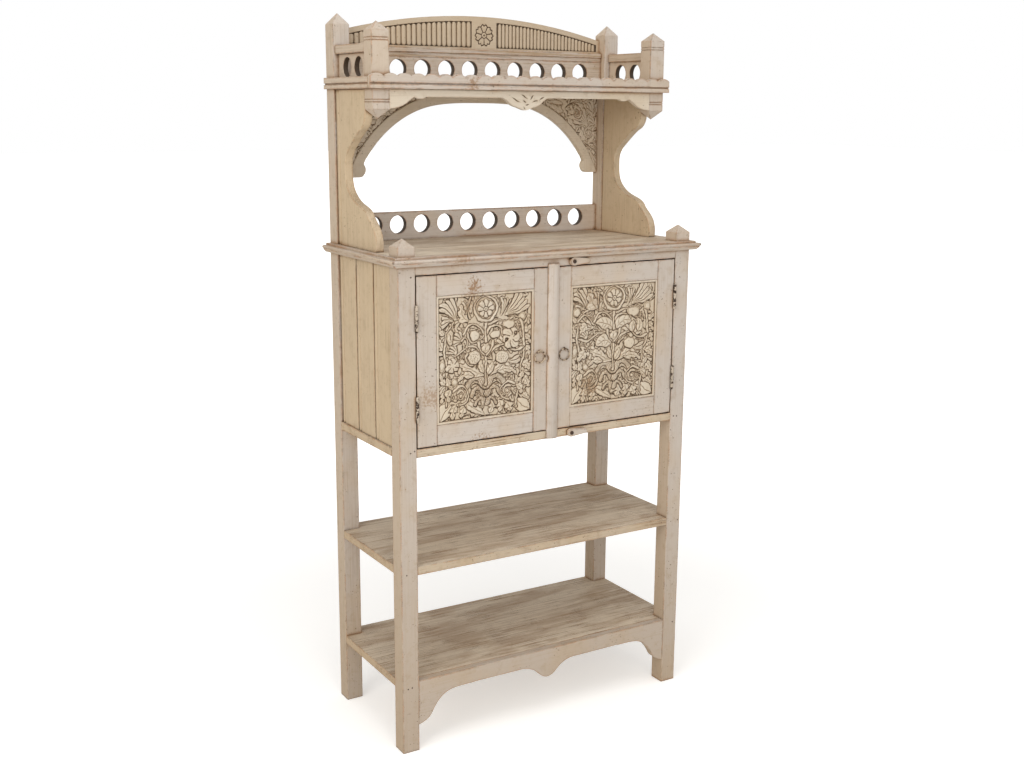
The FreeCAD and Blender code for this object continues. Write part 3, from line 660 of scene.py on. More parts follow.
def shade_smooth(mesh: bpy.types.Mesh, crease: float = 180.0) -> None:
    """Shades a mesh smooth but for its sharp edges.

    Args:
        mesh: Mesh to shade.
        crease: Degrees past which an edge stays sharp.
    """
    mesh.polygons.foreach_set("use_smooth", np.ones(len(mesh.polygons), bool))
    if crease < 180.0:
        mesh.set_sharp_from_angle(angle=math.radians(crease))


def mark_boards(mesh: bpy.types.Mesh, seed: int, along: Optional[int] = None) -> None:
    """Stores each board's own grain coordinates and a tone of its own.

    Args:
        mesh: Mesh of one or more boards.
        seed: Number that makes this piece's pattern its own.
        along: Axis of the grain, or None for each board's longest side.
    """
    places = vertices_of(mesh) / MM
    label = islands(mesh)
    board = np.zeros_like(places)
    tone = np.zeros(len(places))
    for number, part in enumerate(np.unique(label)):
        chosen = label == part
        points = places[chosen]
        extent = points.max(0) - points.min(0)
        first = int(np.argmax(extent)) if along is None else along
        rest = [axis for axis in range(3) if axis != first]
        random = np.random.default_rng(seed * 97 + number)
        board[chosen] = points[:, [first, *rest]] + random.uniform(-4000, 4000, 3)
        tone[chosen] = random.uniform(0, 1)
    mesh.attributes.new("board", "FLOAT_VECTOR", "POINT").data.foreach_set(
        "vector", board.astype(np.float32).ravel())
    store(mesh, "tone", tone)


def shade_hole_walls(mesh: bpy.types.Mesh, holes: Sequence[Hole], wax: float = 1.15) -> None:
    """Stores the recess attribute at full on the faces inside round holes, a painted shade that renders them
    near-black.

    Args:
        mesh: Mesh of a board, in metres.
        holes: The holes that it may have.
        wax: How dark the painted shade is.
    """
    middles, normals = faces_of(mesh)
    walls = np.zeros(len(middles))
    for axis, middle, radius in holes:
        away = middles - middle
        away[:, axis] = 0.0
        distance = np.linalg.norm(away, axis=1)
        inward = -(away * normals).sum(1) / np.maximum(distance, 1e-6)
        walls[(distance < radius * 1.12) & (inward > 0.8)] = wax
    store(mesh, "recess", walls, "FACE")


def shade_front_arrises(mesh: bpy.types.Mesh, depth: float = 3.5, value: float = 0.95) -> None:
    """Stores painted shadow, through the recess attribute, on a door piece's rounded arrises and the front of
    its edges.

    Args:
        mesh: Mesh of the piece, in metres, with its "recess" attribute.
        depth: How far in from the front the wax goes.
        value: How dark the painted shadow is.
    """
    middles, normals = faces_of(mesh)
    setback = middles[:, 1] - vertices_of(mesh)[:, 1].min() / MM
    slant = np.abs(normals[:, 1])
    wax = np.where((slant < 0.75) & (setback < depth), value, 0.0).astype(np.float32)
    mesh.attributes["recess"].data.foreach_set("value", wax)


def round_holes() -> list[Hole]:
    """Round holes of the rails and galleries, from the record's openings.

    Returns:
        One row for each hole.
    """
    holes = []
    for opening in frame["record"]["physics"]["openings"]:
        if "_hole_" in opening["name"]:
            low, high = (np.array(corner) / MM for corner in opening["box_m"])
            axis = 0 if "gallery_hole" in opening["name"] else 1
            holes.append((axis, (low + high) / 2, (high[2] - low[2]) / 2 * math.sqrt(2)))
    return holes


class Workshop:
    """Makes finished pieces, puts each on its body with its slot's finish, and hides the CAD nodes that it
    stands for.
    """

    def __init__(self) -> None:
        """Starts with an empty bench."""
        self.materials: dict[Slot, bpy.types.Material] = {}
        self.holes = round_holes()
        # Share of paint that use has rubbed off a piece all over
        self.rubbed = {"gallery_cap_rear": 0.9, "gallery_rail_rear": 0.35, "lower_back_rail": 0.15,
                       "rear_right_post": 0.2, "rear_left_post": 0.15, "left_side_cap": 0.4,
                       "right_side_cap": 0.4}
        self.made = 0

    def finish(self, slot: Slot) -> bpy.types.Material:
        """The material of a slot, made once.

        Args:
            slot: Material slot of the record.

        Returns:
            The material.
        """
        if slot not in self.materials:
            self.materials[slot] = FINISHES[slot].build()
        return self.materials[slot]

    def hand_over(self, made: bpy.types.Object, body: str, slot: Slot, *nodes: str,
                  along: Optional[int] = None) -> bpy.types.Object:
        """Gives a piece its slot's finish and its body, and hides the CAD nodes that it stands for.

        Args:
            made: The finished piece, at the origin.
            body: CAD body that it rides on.
            slot: Material slot.
            nodes: CAD nodes that it stands for, if any.
            along: Axis of the wood's grain, or None for the longest side.

        Returns:
            The same piece.
        """
        self.made += 1
        mark_boards(made.data, self.made, along)
        made.data.materials.clear()
        made.data.materials.append(self.finish(slot))
        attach(made, body)
        if nodes:
            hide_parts(*nodes)
        return made

    def soften(self, node: str, body: str, slot: Slot, width: float = 0.9) -> bpy.types.Object:
        """Copy of a CAD node with its edges rounded by use.

        Args:
            node: CAD node to copy.
            body: CAD body that it rides on.
            slot: Material slot.
            width: Width of the rounding.

        Returns:
            The finished piece.
        """
        made = show(f"{node}_worn", node_mesh(node))
        bevel = made.modifiers.new("rounding", "BEVEL")
        bevel.width, bevel.segments, bevel.limit_method = width * MM, 2, "ANGLE"
        bevel.angle_limit = math.radians(ROUNDED_PAST)
        bevel.harden_normals = True
        bevel.use_clamp_overlap = True
        settled(made)
        shade_hole_walls(made.data, self.holes if "rail" in node or "gallery" in node else ())
        if "_door_" in node and node.endswith(("stile", "rail")):
            shade_front_arrises(made.data)
        store(made.data, "rubbed", np.full(len(made.data.vertices), self.rubbed.get(node, 0.0)))
        return self.hand_over(made, body, slot, node)


# Carving


def ease(value: np.ndarray, low: float, high: float) -> np.ndarray:
    """Smooth step from zero at low to one at high."""
    t = np.clip((value - low) / (high - low), 0.0, 1.0)
    return t * t * (3 - 2 * t)


def curve(points: Sequence[Point], samples: int = 7) -> np.ndarray:
    """Smooth line through points.

    Args:
        points: Places that the line passes.
        samples: Steps from each place to the next.

    Returns:
        Points of the line.
    """
    p = np.array(points, float)
    if len(p) < 3:
        return p
    ends = np.vstack([2 * p[0] - p[1], p, 2 * p[-1] - p[-2]])
    t = np.linspace(0, 1, samples, endpoint=False)[:, None]
    parts = []
    for a, b, c, d in zip(ends[:-3], ends[1:-2], ends[2:-1], ends[3:]):
        parts.append(0.5 * (2 * b + (c - a) * t + (2 * a - 5 * b + 4 * c - d) * t ** 2
                            + (3 * b - a - 3 * c + d) * t ** 3))
    return np.vstack([*parts, p[-1:]])


def along(path: np.ndarray, x: np.ndarray, z: np.ndarray) -> tuple[np.ndarray, np.ndarray]:
    """Signed distance from a line and the share of its length at the nearest place.

    Args:
        path: Points of the line.
        x: Places across.
        z: Places up.

    Returns:
        Distance, positive to the line's left, and share of length.
    """
    steps = np.diff(path, axis=0)
    lengths = np.maximum(np.hypot(*steps.T), 1e-6)
    starts = np.concatenate([[0.0], np.cumsum(lengths)])
    best = np.full(x.shape, np.inf)
    signed = np.zeros(x.shape)
    share = np.zeros(x.shape)
    for start, step, length, run in zip(path, steps, lengths, starts):
        dx, dz = x - start[0], z - start[1]
        t = np.clip((dx * step[0] + dz * step[1]) / length ** 2, 0.0, 1.0)
        gap = np.hypot(dx - t * step[0], dz - t * step[1])
        nearer = gap < best
        best = np.where(nearer, gap, best)
        side = np.where(step[0] * dz - step[1] * dx >= 0, 1.0, -1.0)
        signed = np.where(nearer, gap * side, signed)
        share = np.where(nearer, (run + t * length) / starts[-1], share)
    return signed, share


class Relief:
    """Height field on a regular grid: zero at the deepest cut and top at the uncut face."""

    def __init__(self, x: tuple[float, float], z: tuple[float, float], step: float, top: float,
                 ground: float = 1.0) -> None:
        """Starts with an even ground.

        Args:
            x: First and last place across.
            z: First and last place up.
            step: Pitch of the grid.
            top: Depth of the deepest cut under the uncut face.
            ground: Height of the ground as a share of the top; one for an uncut face.
        """
        self.x = np.linspace(x[0], x[1], max(2, round((x[1] - x[0]) / step)) + 1)
        self.z = np.linspace(z[0], z[1], max(2, round((z[1] - z[0]) / step)) + 1)
        self.step = step
        self.top = top
        self.halo = 1.7
        self.edge = 3.2
        self.fullness = 1.0
        self.sway = 0.0
        self.lit = 0.0
        self.veil = 0.0
        self.height = np.full((len(self.x), len(self.z)), top * ground)
        self.keenness = np.ones_like(self.height)
        self.pocket = np.zeros_like(self.height)
        self.stray_x = np.zeros_like(self.height)
        self.stray_z = np.zeros_like(self.height)

    def by_hand(self, fullness: float) -> None:
        """Cuts from now on loosely, with outlines keenest below and faint by turns.

        Args:
            fullness: Width of the leaves against their drawn width.
        """
        self.fullness = fullness
        self.sway = 0.2
        self.lit = 0.5
        self.edge = 4.6
        u, v = np.meshgrid(self.x, self.z, indexing="ij")
        waves = np.sin(u / 9.3 + 1.7 * np.sin(v / 13.1)) + np.sin(v / 7.9 + 1.9 * np.sin(u / 11.7))
        self.keenness = np.clip(0.6 + 0.4 * waves, 0.1, 1.0)
        swells = np.sin(u / 6.1 + 2.1 * np.sin(v / 9.7)) * np.sin(v / 5.7 + 2.3 * np.sin(u / 8.3))
        self.pocket = 2.4 * ease(swells, 0.05, 0.9)
        self.stray_x = (1.2 * np.sin(v / 7.3 + 2 * np.sin(u / 16))
                        + 0.45 * np.sin(v / 1.9 + 2.2 * np.sin(u / 4.1)))
        self.stray_z = (1.2 * np.sin(u / 6.7 + 2 * np.sin(v / 14))
                        + 0.45 * np.sin(u / 2.1 + 2.2 * np.sin(v / 3.7)))

    def window(self, points: np.ndarray, reach: float) -> tuple[Any, np.ndarray, np.ndarray]:
        """Part of the grid within reach of some points, with its coordinates.

        Args:
            points: Places to cover.
            reach: Distance to cover round them.

        Returns:
            Window of the grid, and its strayed places across and up.
        """
        reach += float(self.pocket.max() + self.stray_x.max())
        low, high = points.min(0) - reach, points.max(0) + reach
        columns = slice(*np.searchsorted(self.x, [low[0], high[0]]))
        rows = slice(*np.searchsorted(self.z, [low[1], high[1]]))
        place = (columns, rows)
        x, z = np.meshgrid(self.x[columns], self.z[rows], indexing="ij")
        return place, x + self.stray_x[place], z + self.stray_z[place]

    def stamp(self, place: Any, inside: np.ndarray, crown: Any) -> None:
        """Leaves a form standing, with a cut line round it.

        Args:
            place: Window of the grid.
            inside: Distance inside the form's edge, negative outside.
            crown: Height of the form, as a share of the top.
        """
        if min(inside.shape) < 2:
            return
        # Cut lines run deeper on the lower side of each form, so the wax read from their depth darkens there
        # partly as painted shadow
        below = np.clip(1 - self.lit + self.lit * np.gradient(inside, self.step, axis=1), 0.15, 1.0)
        line = 0.94 * self.keenness[place] * below
        before = self.height[place] * (1 - line * ease(inside, -self.halo - self.pocket[place], -0.2))
        body = ease(inside, -0.5 - 2.5 * (1 - line), self.edge) ** 0.7 * crown * self.top
        self.height[place] = np.where(inside > -0.5, body, before)

    def cut(self, points: Sequence[Point], width: float, depth: float) -> None:
        """Cuts a V-shaped line that thins to its ends.

        Args:
            points: Places that the line passes.
            width: Width of the line.
            depth: Depth of the line.
        """
        path = curve(points)
        place, x, z = self.window(path, width * 2)
        if not x.size:
            return
        distance, share = along(path, x, z)
        reach = width / 2 * (1 - 0.75 * np.abs(2 * share - 1) ** 1.5)
        groove = depth * ease(reach - np.abs(distance), 0.0, width / 2)
        self.height[place] = np.minimum(self.height[place], np.maximum(self.height[place] - groove, 0))

    def recess(self) -> np.ndarray:
        """How much old waxing and painted shade each place takes: more where it is deep or narrow.

        Returns:
            Wax and painted shade from about zero to a little over one.
        """
        wide = blurred(self.height, 3.2 / self.step)
        narrow = blurred(self.height, 1.3 / self.step)
        hollow = np.clip((wide - self.height) / 1.6, 0, 1) + np.clip((narrow - self.height) / 0.7, 0, 0.6)
        return self.veil + 0.5 * (1 - self.height / self.top) + 0.72 * hollow


def blurred(values: np.ndarray, sigma: float) -> np.ndarray:
    """Gaussian blur of a grid.

    Args:
        values: The grid.
        sigma: Spread of the blur, in cells.

    Returns:
        The blurred grid.
    """
    reach = max(1, math.ceil(sigma * 2.5))
    taps = np.exp(-0.5 * (np.arange(-reach, reach + 1) / sigma) ** 2)
    taps /= taps.sum()
    for axis in (0, 1):
        margins = [(reach, reach) if axis == other else (0, 0) for other in (0, 1)]
        padded = np.pad(values, margins, mode="edge")
        count = values.shape[axis]
        values = sum(tap * np.take(padded, range(start, start + count), axis=axis)
                     for start, tap in enumerate(taps))
    return values


# How each field of a form changes in its mirror image
MIRRORED: dict[str, Callable[[Any], Any]] = {
    "points": lambda points: tuple((-x, z) for x, z in points),
    "centre": lambda place: (-place[0], place[1]),
    "foot": lambda place: (-place[0], place[1]),
    "turn": lambda turn: math.pi - turn,
    "bend": lambda bend: -bend,
    "clockwise": lambda clockwise: not clockwise,
}


@dataclass(frozen=True)
class Form:
    """One carved shape, placed across and up."""

    def mirrored(self) -> "Form":
        """The same shape on the other side of the middle.

        Returns:
            A new form of the same class.
        """
        names = [each.name for each in fields(self) if each.name in MIRRORED]
        return replace(self, **{name: MIRRORED[name](getattr(self, name)) for name in names})

    def carve(self, relief: Relief) -> None:
        """Leaves the shape standing in a relief; each class has its own."""
        raise NotImplementedError


@dataclass(frozen=True)
class Stem(Form):
    """Rounded strand along a smooth line, tapering from its start to its end."""

    points: tuple[Point, ...]
    start: float = 3.6
    end: float = 2.2
    crown: float = 0.8
    flutes: int = 0

    def carve(self, relief: Relief) -> None:
        """Leaves the strand standing in a relief.

        Args:
            relief: Relief that takes the form.
        """
        path = curve(self.points)
        widest = max(self.start, self.end)
        place, x, z = relief.window(path, widest + relief.halo + 1)
        distance, share = along(path, x, z)
        width = self.start + (self.end - self.start) * share
        width = width * (1 + relief.sway * np.sin(share * math.pi * 2.3 + 0.6))
        across = np.abs(distance) / width
        crown = self.crown * (1 - 0.22 * np.clip(across, 0, 1) ** 2)
        if self.flutes:
            waves = np.cos(np.clip(across, 0, 1) * math.pi * (self.flutes + 0.5)) ** 8
            crown = crown - 0.32 * waves * (across < 0.9)
        relief.stamp(place, width - np.abs(distance), crown)


@dataclass(frozen=True)
class Leaf(Form):
    """Leaf along a smooth line from its foot to its tip, with lobes and cut veins."""

    points: tuple[Point, ...]
    width: float = 9.0
    lobes: int = 0
    crown: float = 0.9
    veins: int = 4

    def carve(self, relief: Relief) -> None:
        """Leaves the leaf standing in a relief.

        Args:
            relief: Relief that takes the form.
        """
        path = curve(self.points)
        widest = self.width * relief.fullness
        place, x, z = relief.window(path, widest + relief.halo + 1)
        distance, share = along(path, x, z)
        off = np.abs(distance)
        outline = widest * np.sin(math.pi * np.clip(share, 0.0, 1.0) ** 0.75) ** 0.7
        slant = share - 0.16 * off / widest
        if self.lobes:
            outline = outline * (1 - 0.42 * np.cos(math.pi * self.lobes * slant) ** 4)
        crown = self.crown * (1 - 0.3 * np.exp(-(off / 1.1) ** 2))
        if self.veins:
            wave = np.cos(math.pi * self.veins * slant) ** 10
            crown = crown - 0.22 * wave * ease(off, 0.8, 2.5)
        relief.stamp(place, np.where(outline > 0.3, outline - off, -9.0), crown)


@dataclass(frozen=True)
class Groove(Form):
    """Cut line that tapers at its ends."""

    points: tuple[Point, ...]
    width: float = 2.6
    depth: float = 3.4

    def carve(self, relief: Relief) -> None:
        """Cuts the line into a relief."""
        relief.cut(self.points, self.width, self.depth)


@dataclass(frozen=True)
class Disc(Form):
    """Flat round or oval fruit, plain or dotted with punched pits."""

    centre: Point
    radius: float
    tall: float = 0.0
    pits: bool = False
    rim: float = 0.0
    crown: float = 0.82

    def carve(self, relief: Relief) -> None:
        """Leaves the disc standing in a relief.

        Args:
            relief: Relief that takes the form.
        """
        centre = np.array([self.centre])
        place, x, z = relief.window(centre, max(self.radius, self.tall) + relief.halo + 1)
        dx, dz = x - self.centre[0], z - self.centre[1]
        radius = np.hypot(dx, dz * self.radius / (self.tall or self.radius))
        crown = self.crown * (1 - 0.12 * (radius / self.radius) ** 4)
        if self.pits:
            row = np.round(dz / 4.4)
            shift = np.where(row % 2 == 0, 0.0, 2.4)
            column = np.round((dx - shift) / 4.8)
            strayed = np.sin(row * 2.4 + column * 5.1), np.sin(row * 4.7 + column * 1.9)
            pit = np.hypot(dx - shift - column * 4.8 - strayed[0], dz - row * 4.4 - strayed[1])
            crown = crown - 0.2 * ease(1.7 - pit, 0.0, 1.2) * (radius < self.radius - 3.5)
        if self.rim:
            crown = crown - 0.25 * np.exp(-((radius - self.radius + self.rim) / 0.9) ** 2)
        relief.stamp(place, self.radius - radius, crown)


@dataclass(frozen=True)
class Flower(Form):
    """Open flower with rounded petals and a round centre."""

    centre: Point
    radius: float
    petals: int = 8
    turn: float = 0.0
    boss: float = 5.0
    notch: float = 0.0
    crown: float = 0.95

    def carve(self, relief: Relief) -> None:
        """Leaves the flower standing in a relief.

        Args:
            relief: Relief that takes the form.
        """
        place, x, z = relief.window(np.array([self.centre]), self.radius + relief.halo + 1)
        dx, dz = x - self.centre[0], z - self.centre[1]
        radius = np.hypot(dx, dz)
        angle = (np.arctan2(dz, dx) - self.turn) * self.petals / 2
        between = np.abs(np.sin(angle))
        edge = self.radius * (1 - 0.15 * between ** 5 - self.notch * np.abs(np.cos(angle)) ** 18)
        crown = self.crown * (0.88 + 0.12 * np.cos(radius / self.radius * math.pi * 1.2 + 2.4))
        seam = (1 - between) * radius
        crown = crown - 0.42 * ease(seam, 0.7, 0.1) * ease(radius, self.boss, self.boss + 2)
        crown = np.where(radius < self.boss + 1.3, 0.35, crown)
        dome = self.crown * (1 - 0.2 * (radius / self.boss) ** 2)
        dome = dome - 0.6 * ease(self.boss * 0.3 - radius, -0.6, 0.6)
        crown = np.where(radius < self.boss, dome, crown)
        relief.stamp(place, edge - radius, crown)


@dataclass(frozen=True)
class Fan(Form):
    """Scalloped leaf: rounded fingers spread from its foot, with a cut line between each two."""

    foot: Point
    radius: float
    turn: float
    spread: float = 1.4
    fingers: int = 4
    bend: float = 0.25
    crown: float = 0.9

    def carve(self, relief: Relief) -> None:
        """Leaves the leaf standing in a relief.

        Args:
            relief: Relief that takes the form.
        """
        place, x, z = relief.window(np.array([self.foot]), self.radius + relief.halo + 1)
        dx, dz = x - self.foot[0], z - self.foot[1]
        radius = np.hypot(dx, dz)
        angle = np.arctan2(dz, dx) - self.turn - self.bend * (radius / self.radius) ** 2
        angle = np.mod(angle + math.pi, 2 * math.pi) - math.pi
        finger = (angle / self.spread + 0.5) * self.fingers
        off = np.abs(finger - np.floor(finger) - 0.5)
        uneven = 0.94 + 0.06 * np.sin(np.floor(finger) * 2.3 + self.radius)
        edge = self.radius * uneven * (0.8 + 0.2 * np.sqrt(np.cos(np.clip(off, 0, 0.5) * math.pi)))
        side = (self.spread / 2 - np.abs(angle)) * radius + 1.5 if self.spread < 6 else edge
        pitch = self.spread / self.fingers * radius
        away = ease(radius, 3.0, 9.0)
        crown = self.crown - 0.45 * np.exp(-((0.5 - off) * pitch / 1.1) ** 2) * away
        crown = crown - 0.14 * np.exp(-(off * pitch / 0.8) ** 2) * away * ease(edge - radius, 2.0, 6.0)
        relief.stamp(place, np.minimum(edge - radius, side), crown)


@dataclass(frozen=True)
class Scroll(Form):
    """Strand that curls in to a round eye."""

    centre: Point
    radius: float
    turn: float = 0.0
    turns: float = 1.2
    width: float = 3.4
    clockwise: bool = False
    eye: float = 4.0

    def carve(self, relief: Relief) -> None:
        """Leaves the scroll standing in a relief.

        Args:
            relief: Relief that takes the form.
        """
        sense = -1 if self.clockwise else 1
        shares = np.linspace(0, 1, 22)
        angles = self.turn + sense * shares * self.turns * 2 * math.pi
        radii = self.radius - (self.radius - self.eye) * shares ** 0.9
        points = tuple((self.centre[0] + r * math.cos(a), self.centre[1] + r * math.sin(a))
                       for r, a in zip(radii, angles))
        Stem(points, self.width, self.width * 0.6).carve(relief)
        Disc(self.centre, self.eye).carve(relief)


def both(*forms: Form) -> list[Form]:
    """Forms and their mirror images."""
    return [made for form in forms for made in (form, form.mirrored())]


def undergrowth(relief: Relief, pitch: float, seed: int) -> None:
    """Fills the ground with small leaves that show between the larger forms.

    Args:
        relief: Relief that takes the leaves.
        pitch: Mean distance from leaf to leaf.
        seed: Number that fixes their places.
    """
    random = np.random.default_rng(seed)
    for x in np.arange(relief.x[0] + pitch / 2, relief.x[-1], pitch):
        for z in np.arange(relief.z[0] + pitch / 2, relief.z[-1], pitch):
            foot = (x + random.uniform(-0.35, 0.35) * pitch,
                    z + random.uniform(-0.35, 0.35) * pitch)
            Fan(foot, pitch * random.uniform(0.9, 1.35), random.uniform(0, 2 * math.pi),
                random.uniform(0.9, 1.9), int(random.integers(2, 5)), random.uniform(-0.6, 0.6),
                random.uniform(0.5, 0.78)).carve(relief)


@dataclass(frozen=True)
class Edges:
    """Lower and upper edge of a board's face at each column."""

    low: np.ndarray
    high: np.ndarray


def face_edges(node: str, columns: np.ndarray) -> Edges:
    """Reads the lowest and highest place of a CAD board's front face at each column.

    Args:
        node: CAD node of the board.
        columns: Places across.

    Returns:
        The edges at those places.
    """
    mesh = node_mesh(node)
    places = vertices_of(mesh) / MM
    front = places[:, 1].min() + 2 * WELD
    slack, upright = 1e-3, 1e-6
    low = np.full(len(columns), np.inf)
    high = np.full(len(columns), -np.inf)
    for edge in mesh.edges:
        a, b = (places[index] for index in edge.vertices)
        if max(a[1], b[1]) > front:
            continue
        a, b = (a, b) if a[0] <= b[0] else (b, a)
        chosen = (columns >= a[0] - slack) & (columns <= b[0] + slack)
        if not chosen.any():
            continue
        run = b[0] - a[0]
        lowest, highest = sorted((a[2], b[2]))
        if run > upright:
            lowest = a[2] + (b[2] - a[2]) * np.clip((columns[chosen] - a[0]) / run, 0, 1)
            highest = lowest
        low[chosen] = np.minimum(low[chosen], lowest)
        high[chosen] = np.maximum(high[chosen], highest)
    bpy.data.meshes.remove(mesh)
    return Edges(low, high)


def carved_board(name: str, relief: Relief, face_y: float, back_y: float,
                 edges: Optional[Edges] = None) -> bpy.types.Object:
    """Closed board whose front is a relief and whose outline follows its edges.

    Args:
        name: Name of the new object.
        relief: The carving.
        face_y: Front of the uncut face.
        back_y: Back of the board.
        edges: Lower and upper edge at each column, or None for the grid's own.

    Returns:
        The board, with its recess attribute for waxing and painted shade.
    """
    columns, rows = len(relief.x), len(relief.z)
    edges = edges or Edges(np.full(columns, relief.z[0]), np.full(columns, relief.z[-1]))
    wax = relief.recess()
    z = np.clip(relief.z[None, :], edges.low[:, None], edges.high[:, None])
    height = np.empty_like(z)
    recess = np.empty_like(z)
    for column in range(columns):
        height[column] = np.interp(z[column], relief.z, relief.height[column])
        recess[column] = np.interp(z[column], relief.z, wax[column])
    first = np.maximum(np.searchsorted(relief.z, edges.low, side="right") - 1, 0)
    last = np.minimum(np.searchsorted(relief.z, edges.high, side="left"), rows - 1)
    index = np.clip(np.arange(rows)[None, :], first[:, None], last[:, None])
    index = index + np.arange(columns)[:, None] * rows
    front = np.stack([np.repeat(relief.x[:, None], rows, 1), face_y + relief.top - height, z], -1)
    back_low = np.stack([relief.x, np.full(columns, back_y), edges.low], -1)
    back_high = np.stack([relief.x, np.full(columns, back_y), edges.high], -1)
    places = np.vstack([front.reshape(-1, 3), back_low, back_high])
    low_at, high_at = columns * rows, columns * rows + columns
    faces: list[tuple[int, ...]] = []
    for cell in zip(index[:-1, :-1].ravel().tolist(), index[1:, :-1].ravel().tolist(),
                    index[1:, 1:].ravel().tolist(), index[:-1, 1:].ravel().tolist()):
        corners = tuple(dict.fromkeys(cell))
        if len(corners) > 2:
            faces.append(corners)
    for i in range(columns - 1):
        low, high = int(index[i, 0]), int(index[i, -1])
        next_low, next_high = int(index[i + 1, 0]), int(index[i + 1, -1])
        faces.append((low, low_at + i, low_at + i + 1, next_low))
        faces.append((next_high, high_at + i + 1, high_at + i, high))
        faces.append((low_at + i, high_at + i, high_at + i + 1, low_at + i + 1))
    for i, flip in ((0, False), (columns - 1, True)):
        side = [int(v) for v in dict.fromkeys(index[i].tolist())] + [high_at + i, low_at + i]
        faces.append(tuple(reversed(side)) if flip else tuple(side))
    mesh = mesh_of(name, places, faces)
    store(mesh, "recess", np.concatenate([recess.ravel(), np.zeros(2 * columns)]))
    with editing(mesh) as edit:
        loose = [vertex for vertex in edit.verts if not vertex.link_faces]
        bmesh.ops.delete(edit, geom=loose, context="VERTS")
        bmesh.ops.recalc_face_normals(edit, faces=edit.faces)
    shade_smooth(mesh, CREASED_PAST)
    return show(name, mesh)


def box_mesh(name: str, low: Sequence[float], high: Sequence[float]) -> bpy.types.Mesh:
    """Plain box between two corners.

    Args:
        name: Name of the mesh.
        low: Lowest corner.
        high: Highest corner.

    Returns:
        The mesh, in metres.
    """
    mesh = bpy.data.meshes.new(name)
    with editing(mesh) as edit:
        bmesh.ops.create_cube(edit, size=1.0)
        bmesh.ops.scale(edit, vec=[(h - l) * MM for l, h in zip(low, high)], verts=edit.verts)
        bmesh.ops.translate(edit, vec=[(h + l) / 2 * MM for l, h in zip(low, high)], verts=edit.verts)
    return mesh


def box_of(node: str) -> tuple[np.ndarray, np.ndarray]:
    """Lowest and highest corner of a CAD node in millimetres."""
    low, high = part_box(node)
    return np.array(low) / MM, np.array(high) / MM


# Geometry Nodes


class Repeat(Tree):
    """Node group that repeats a small form at points, with its inputs set by name."""

    def __init__(self, name: str) -> None:
        """Starts a group that takes and gives geometry.

        Args:
            name: Name of the group.
        """
        self.tree = bpy.data.node_groups.new(name, "GeometryNodeTree")
        self.tree.interface.new_socket("Geometry", in_out="INPUT", socket_type="NodeSocketGeometry")
        self.tree.interface.new_socket("Geometry", in_out="OUTPUT", socket_type="NodeSocketGeometry")
        self.entry = add_node(self.tree, "NodeGroupInput")
        self.exit = add_node(self.tree, "NodeGroupOutput")

    def input(self, name: str, kind: str = "NodeSocketFloat") -> bpy.types.NodeSocket:
        """Adds a named input and gives its socket inside the group."""
        self.tree.interface.new_socket(name, in_out="INPUT", socket_type=kind)
        return self.entry.outputs[name]

    def random(self, low: Any, high: Any, seed: Any) -> Any:
        """Each point's own number between two others."""
        node = self.node("FunctionNodeRandomValue", {"data_type": "FLOAT"},
                         {"Min": low, "Max": high, "Seed": seed})
        return next(output for output in node.outputs if output.enabled)

    def close(self, points: Any, form: Any, **how: Any) -> None:
        """Ends the group: a form at each point, as real geometry in the group's material.

        Args:
            points: Socket with the points.
            form: Socket with the object to repeat.
            how: Sockets for the instances' rotation and scale.
        """
        shape = self.node("GeometryNodeObjectInfo", None, {"Object": form}).outputs["Geometry"]
        placed = self.node("GeometryNodeInstanceOnPoints", None,
                           {"Points": points, "Instance": shape, **how})
        real = self.node("GeometryNodeRealizeInstances", None, {"Geometry": placed.outputs[0]})
        smooth = self.node("GeometryNodeSetShadeSmooth", None, {"Geometry": real.outputs[0]})
        finish = self.input("Material", "NodeSocketMaterial")
        made = self.node("GeometryNodeSetMaterial", None,
                         {"Geometry": smooth.outputs[0], "Material": finish})
        self.tree.links.new(made.outputs[0], self.exit.inputs[0])

    def apply(self, made: bpy.types.Object, values: dict[str, Any]) -> None:
        """Runs the group on an object with these input values.

        Args:
            made: Object that carries the points.
            values: Value of each input by its name.
        """
        modifier = made.modifiers.new(self.tree.name, "NODES")
        modifier.node_group = self.tree
        for item in self.tree.interface.items_tree:
            if item.item_type == "SOCKET" and item.in_out == "INPUT" and item.name in values:
                modifier[item.identifier] = values[item.name]
        settled(made)


def scatter_group() -> Repeat:
    """Repeats a small form at every vertex, each a little different in size and turn.

    Returns:
        The group, with inputs Form, Seed, Size spread, Turn and Material.
    """
    group = Repeat("forms_at_vertices")
    form, seed = group.input("Form", "NodeSocketObject"), group.input("Seed", "NodeSocketInt")
    spread, turn = group.input("Size spread"), group.input("Turn")
    points = group.node("GeometryNodeMeshToPoints", None, {"Mesh": group.entry.outputs["Geometry"]})
    size = group.random(group.less(1.0, spread), 1.0, seed)
    rotation = group.node("ShaderNodeCombineXYZ", None, {"Y": group.random(0.0, turn, seed)})
    group.close(points.outputs[0], form, Rotation=rotation.outputs[0], Scale=size)
    return group


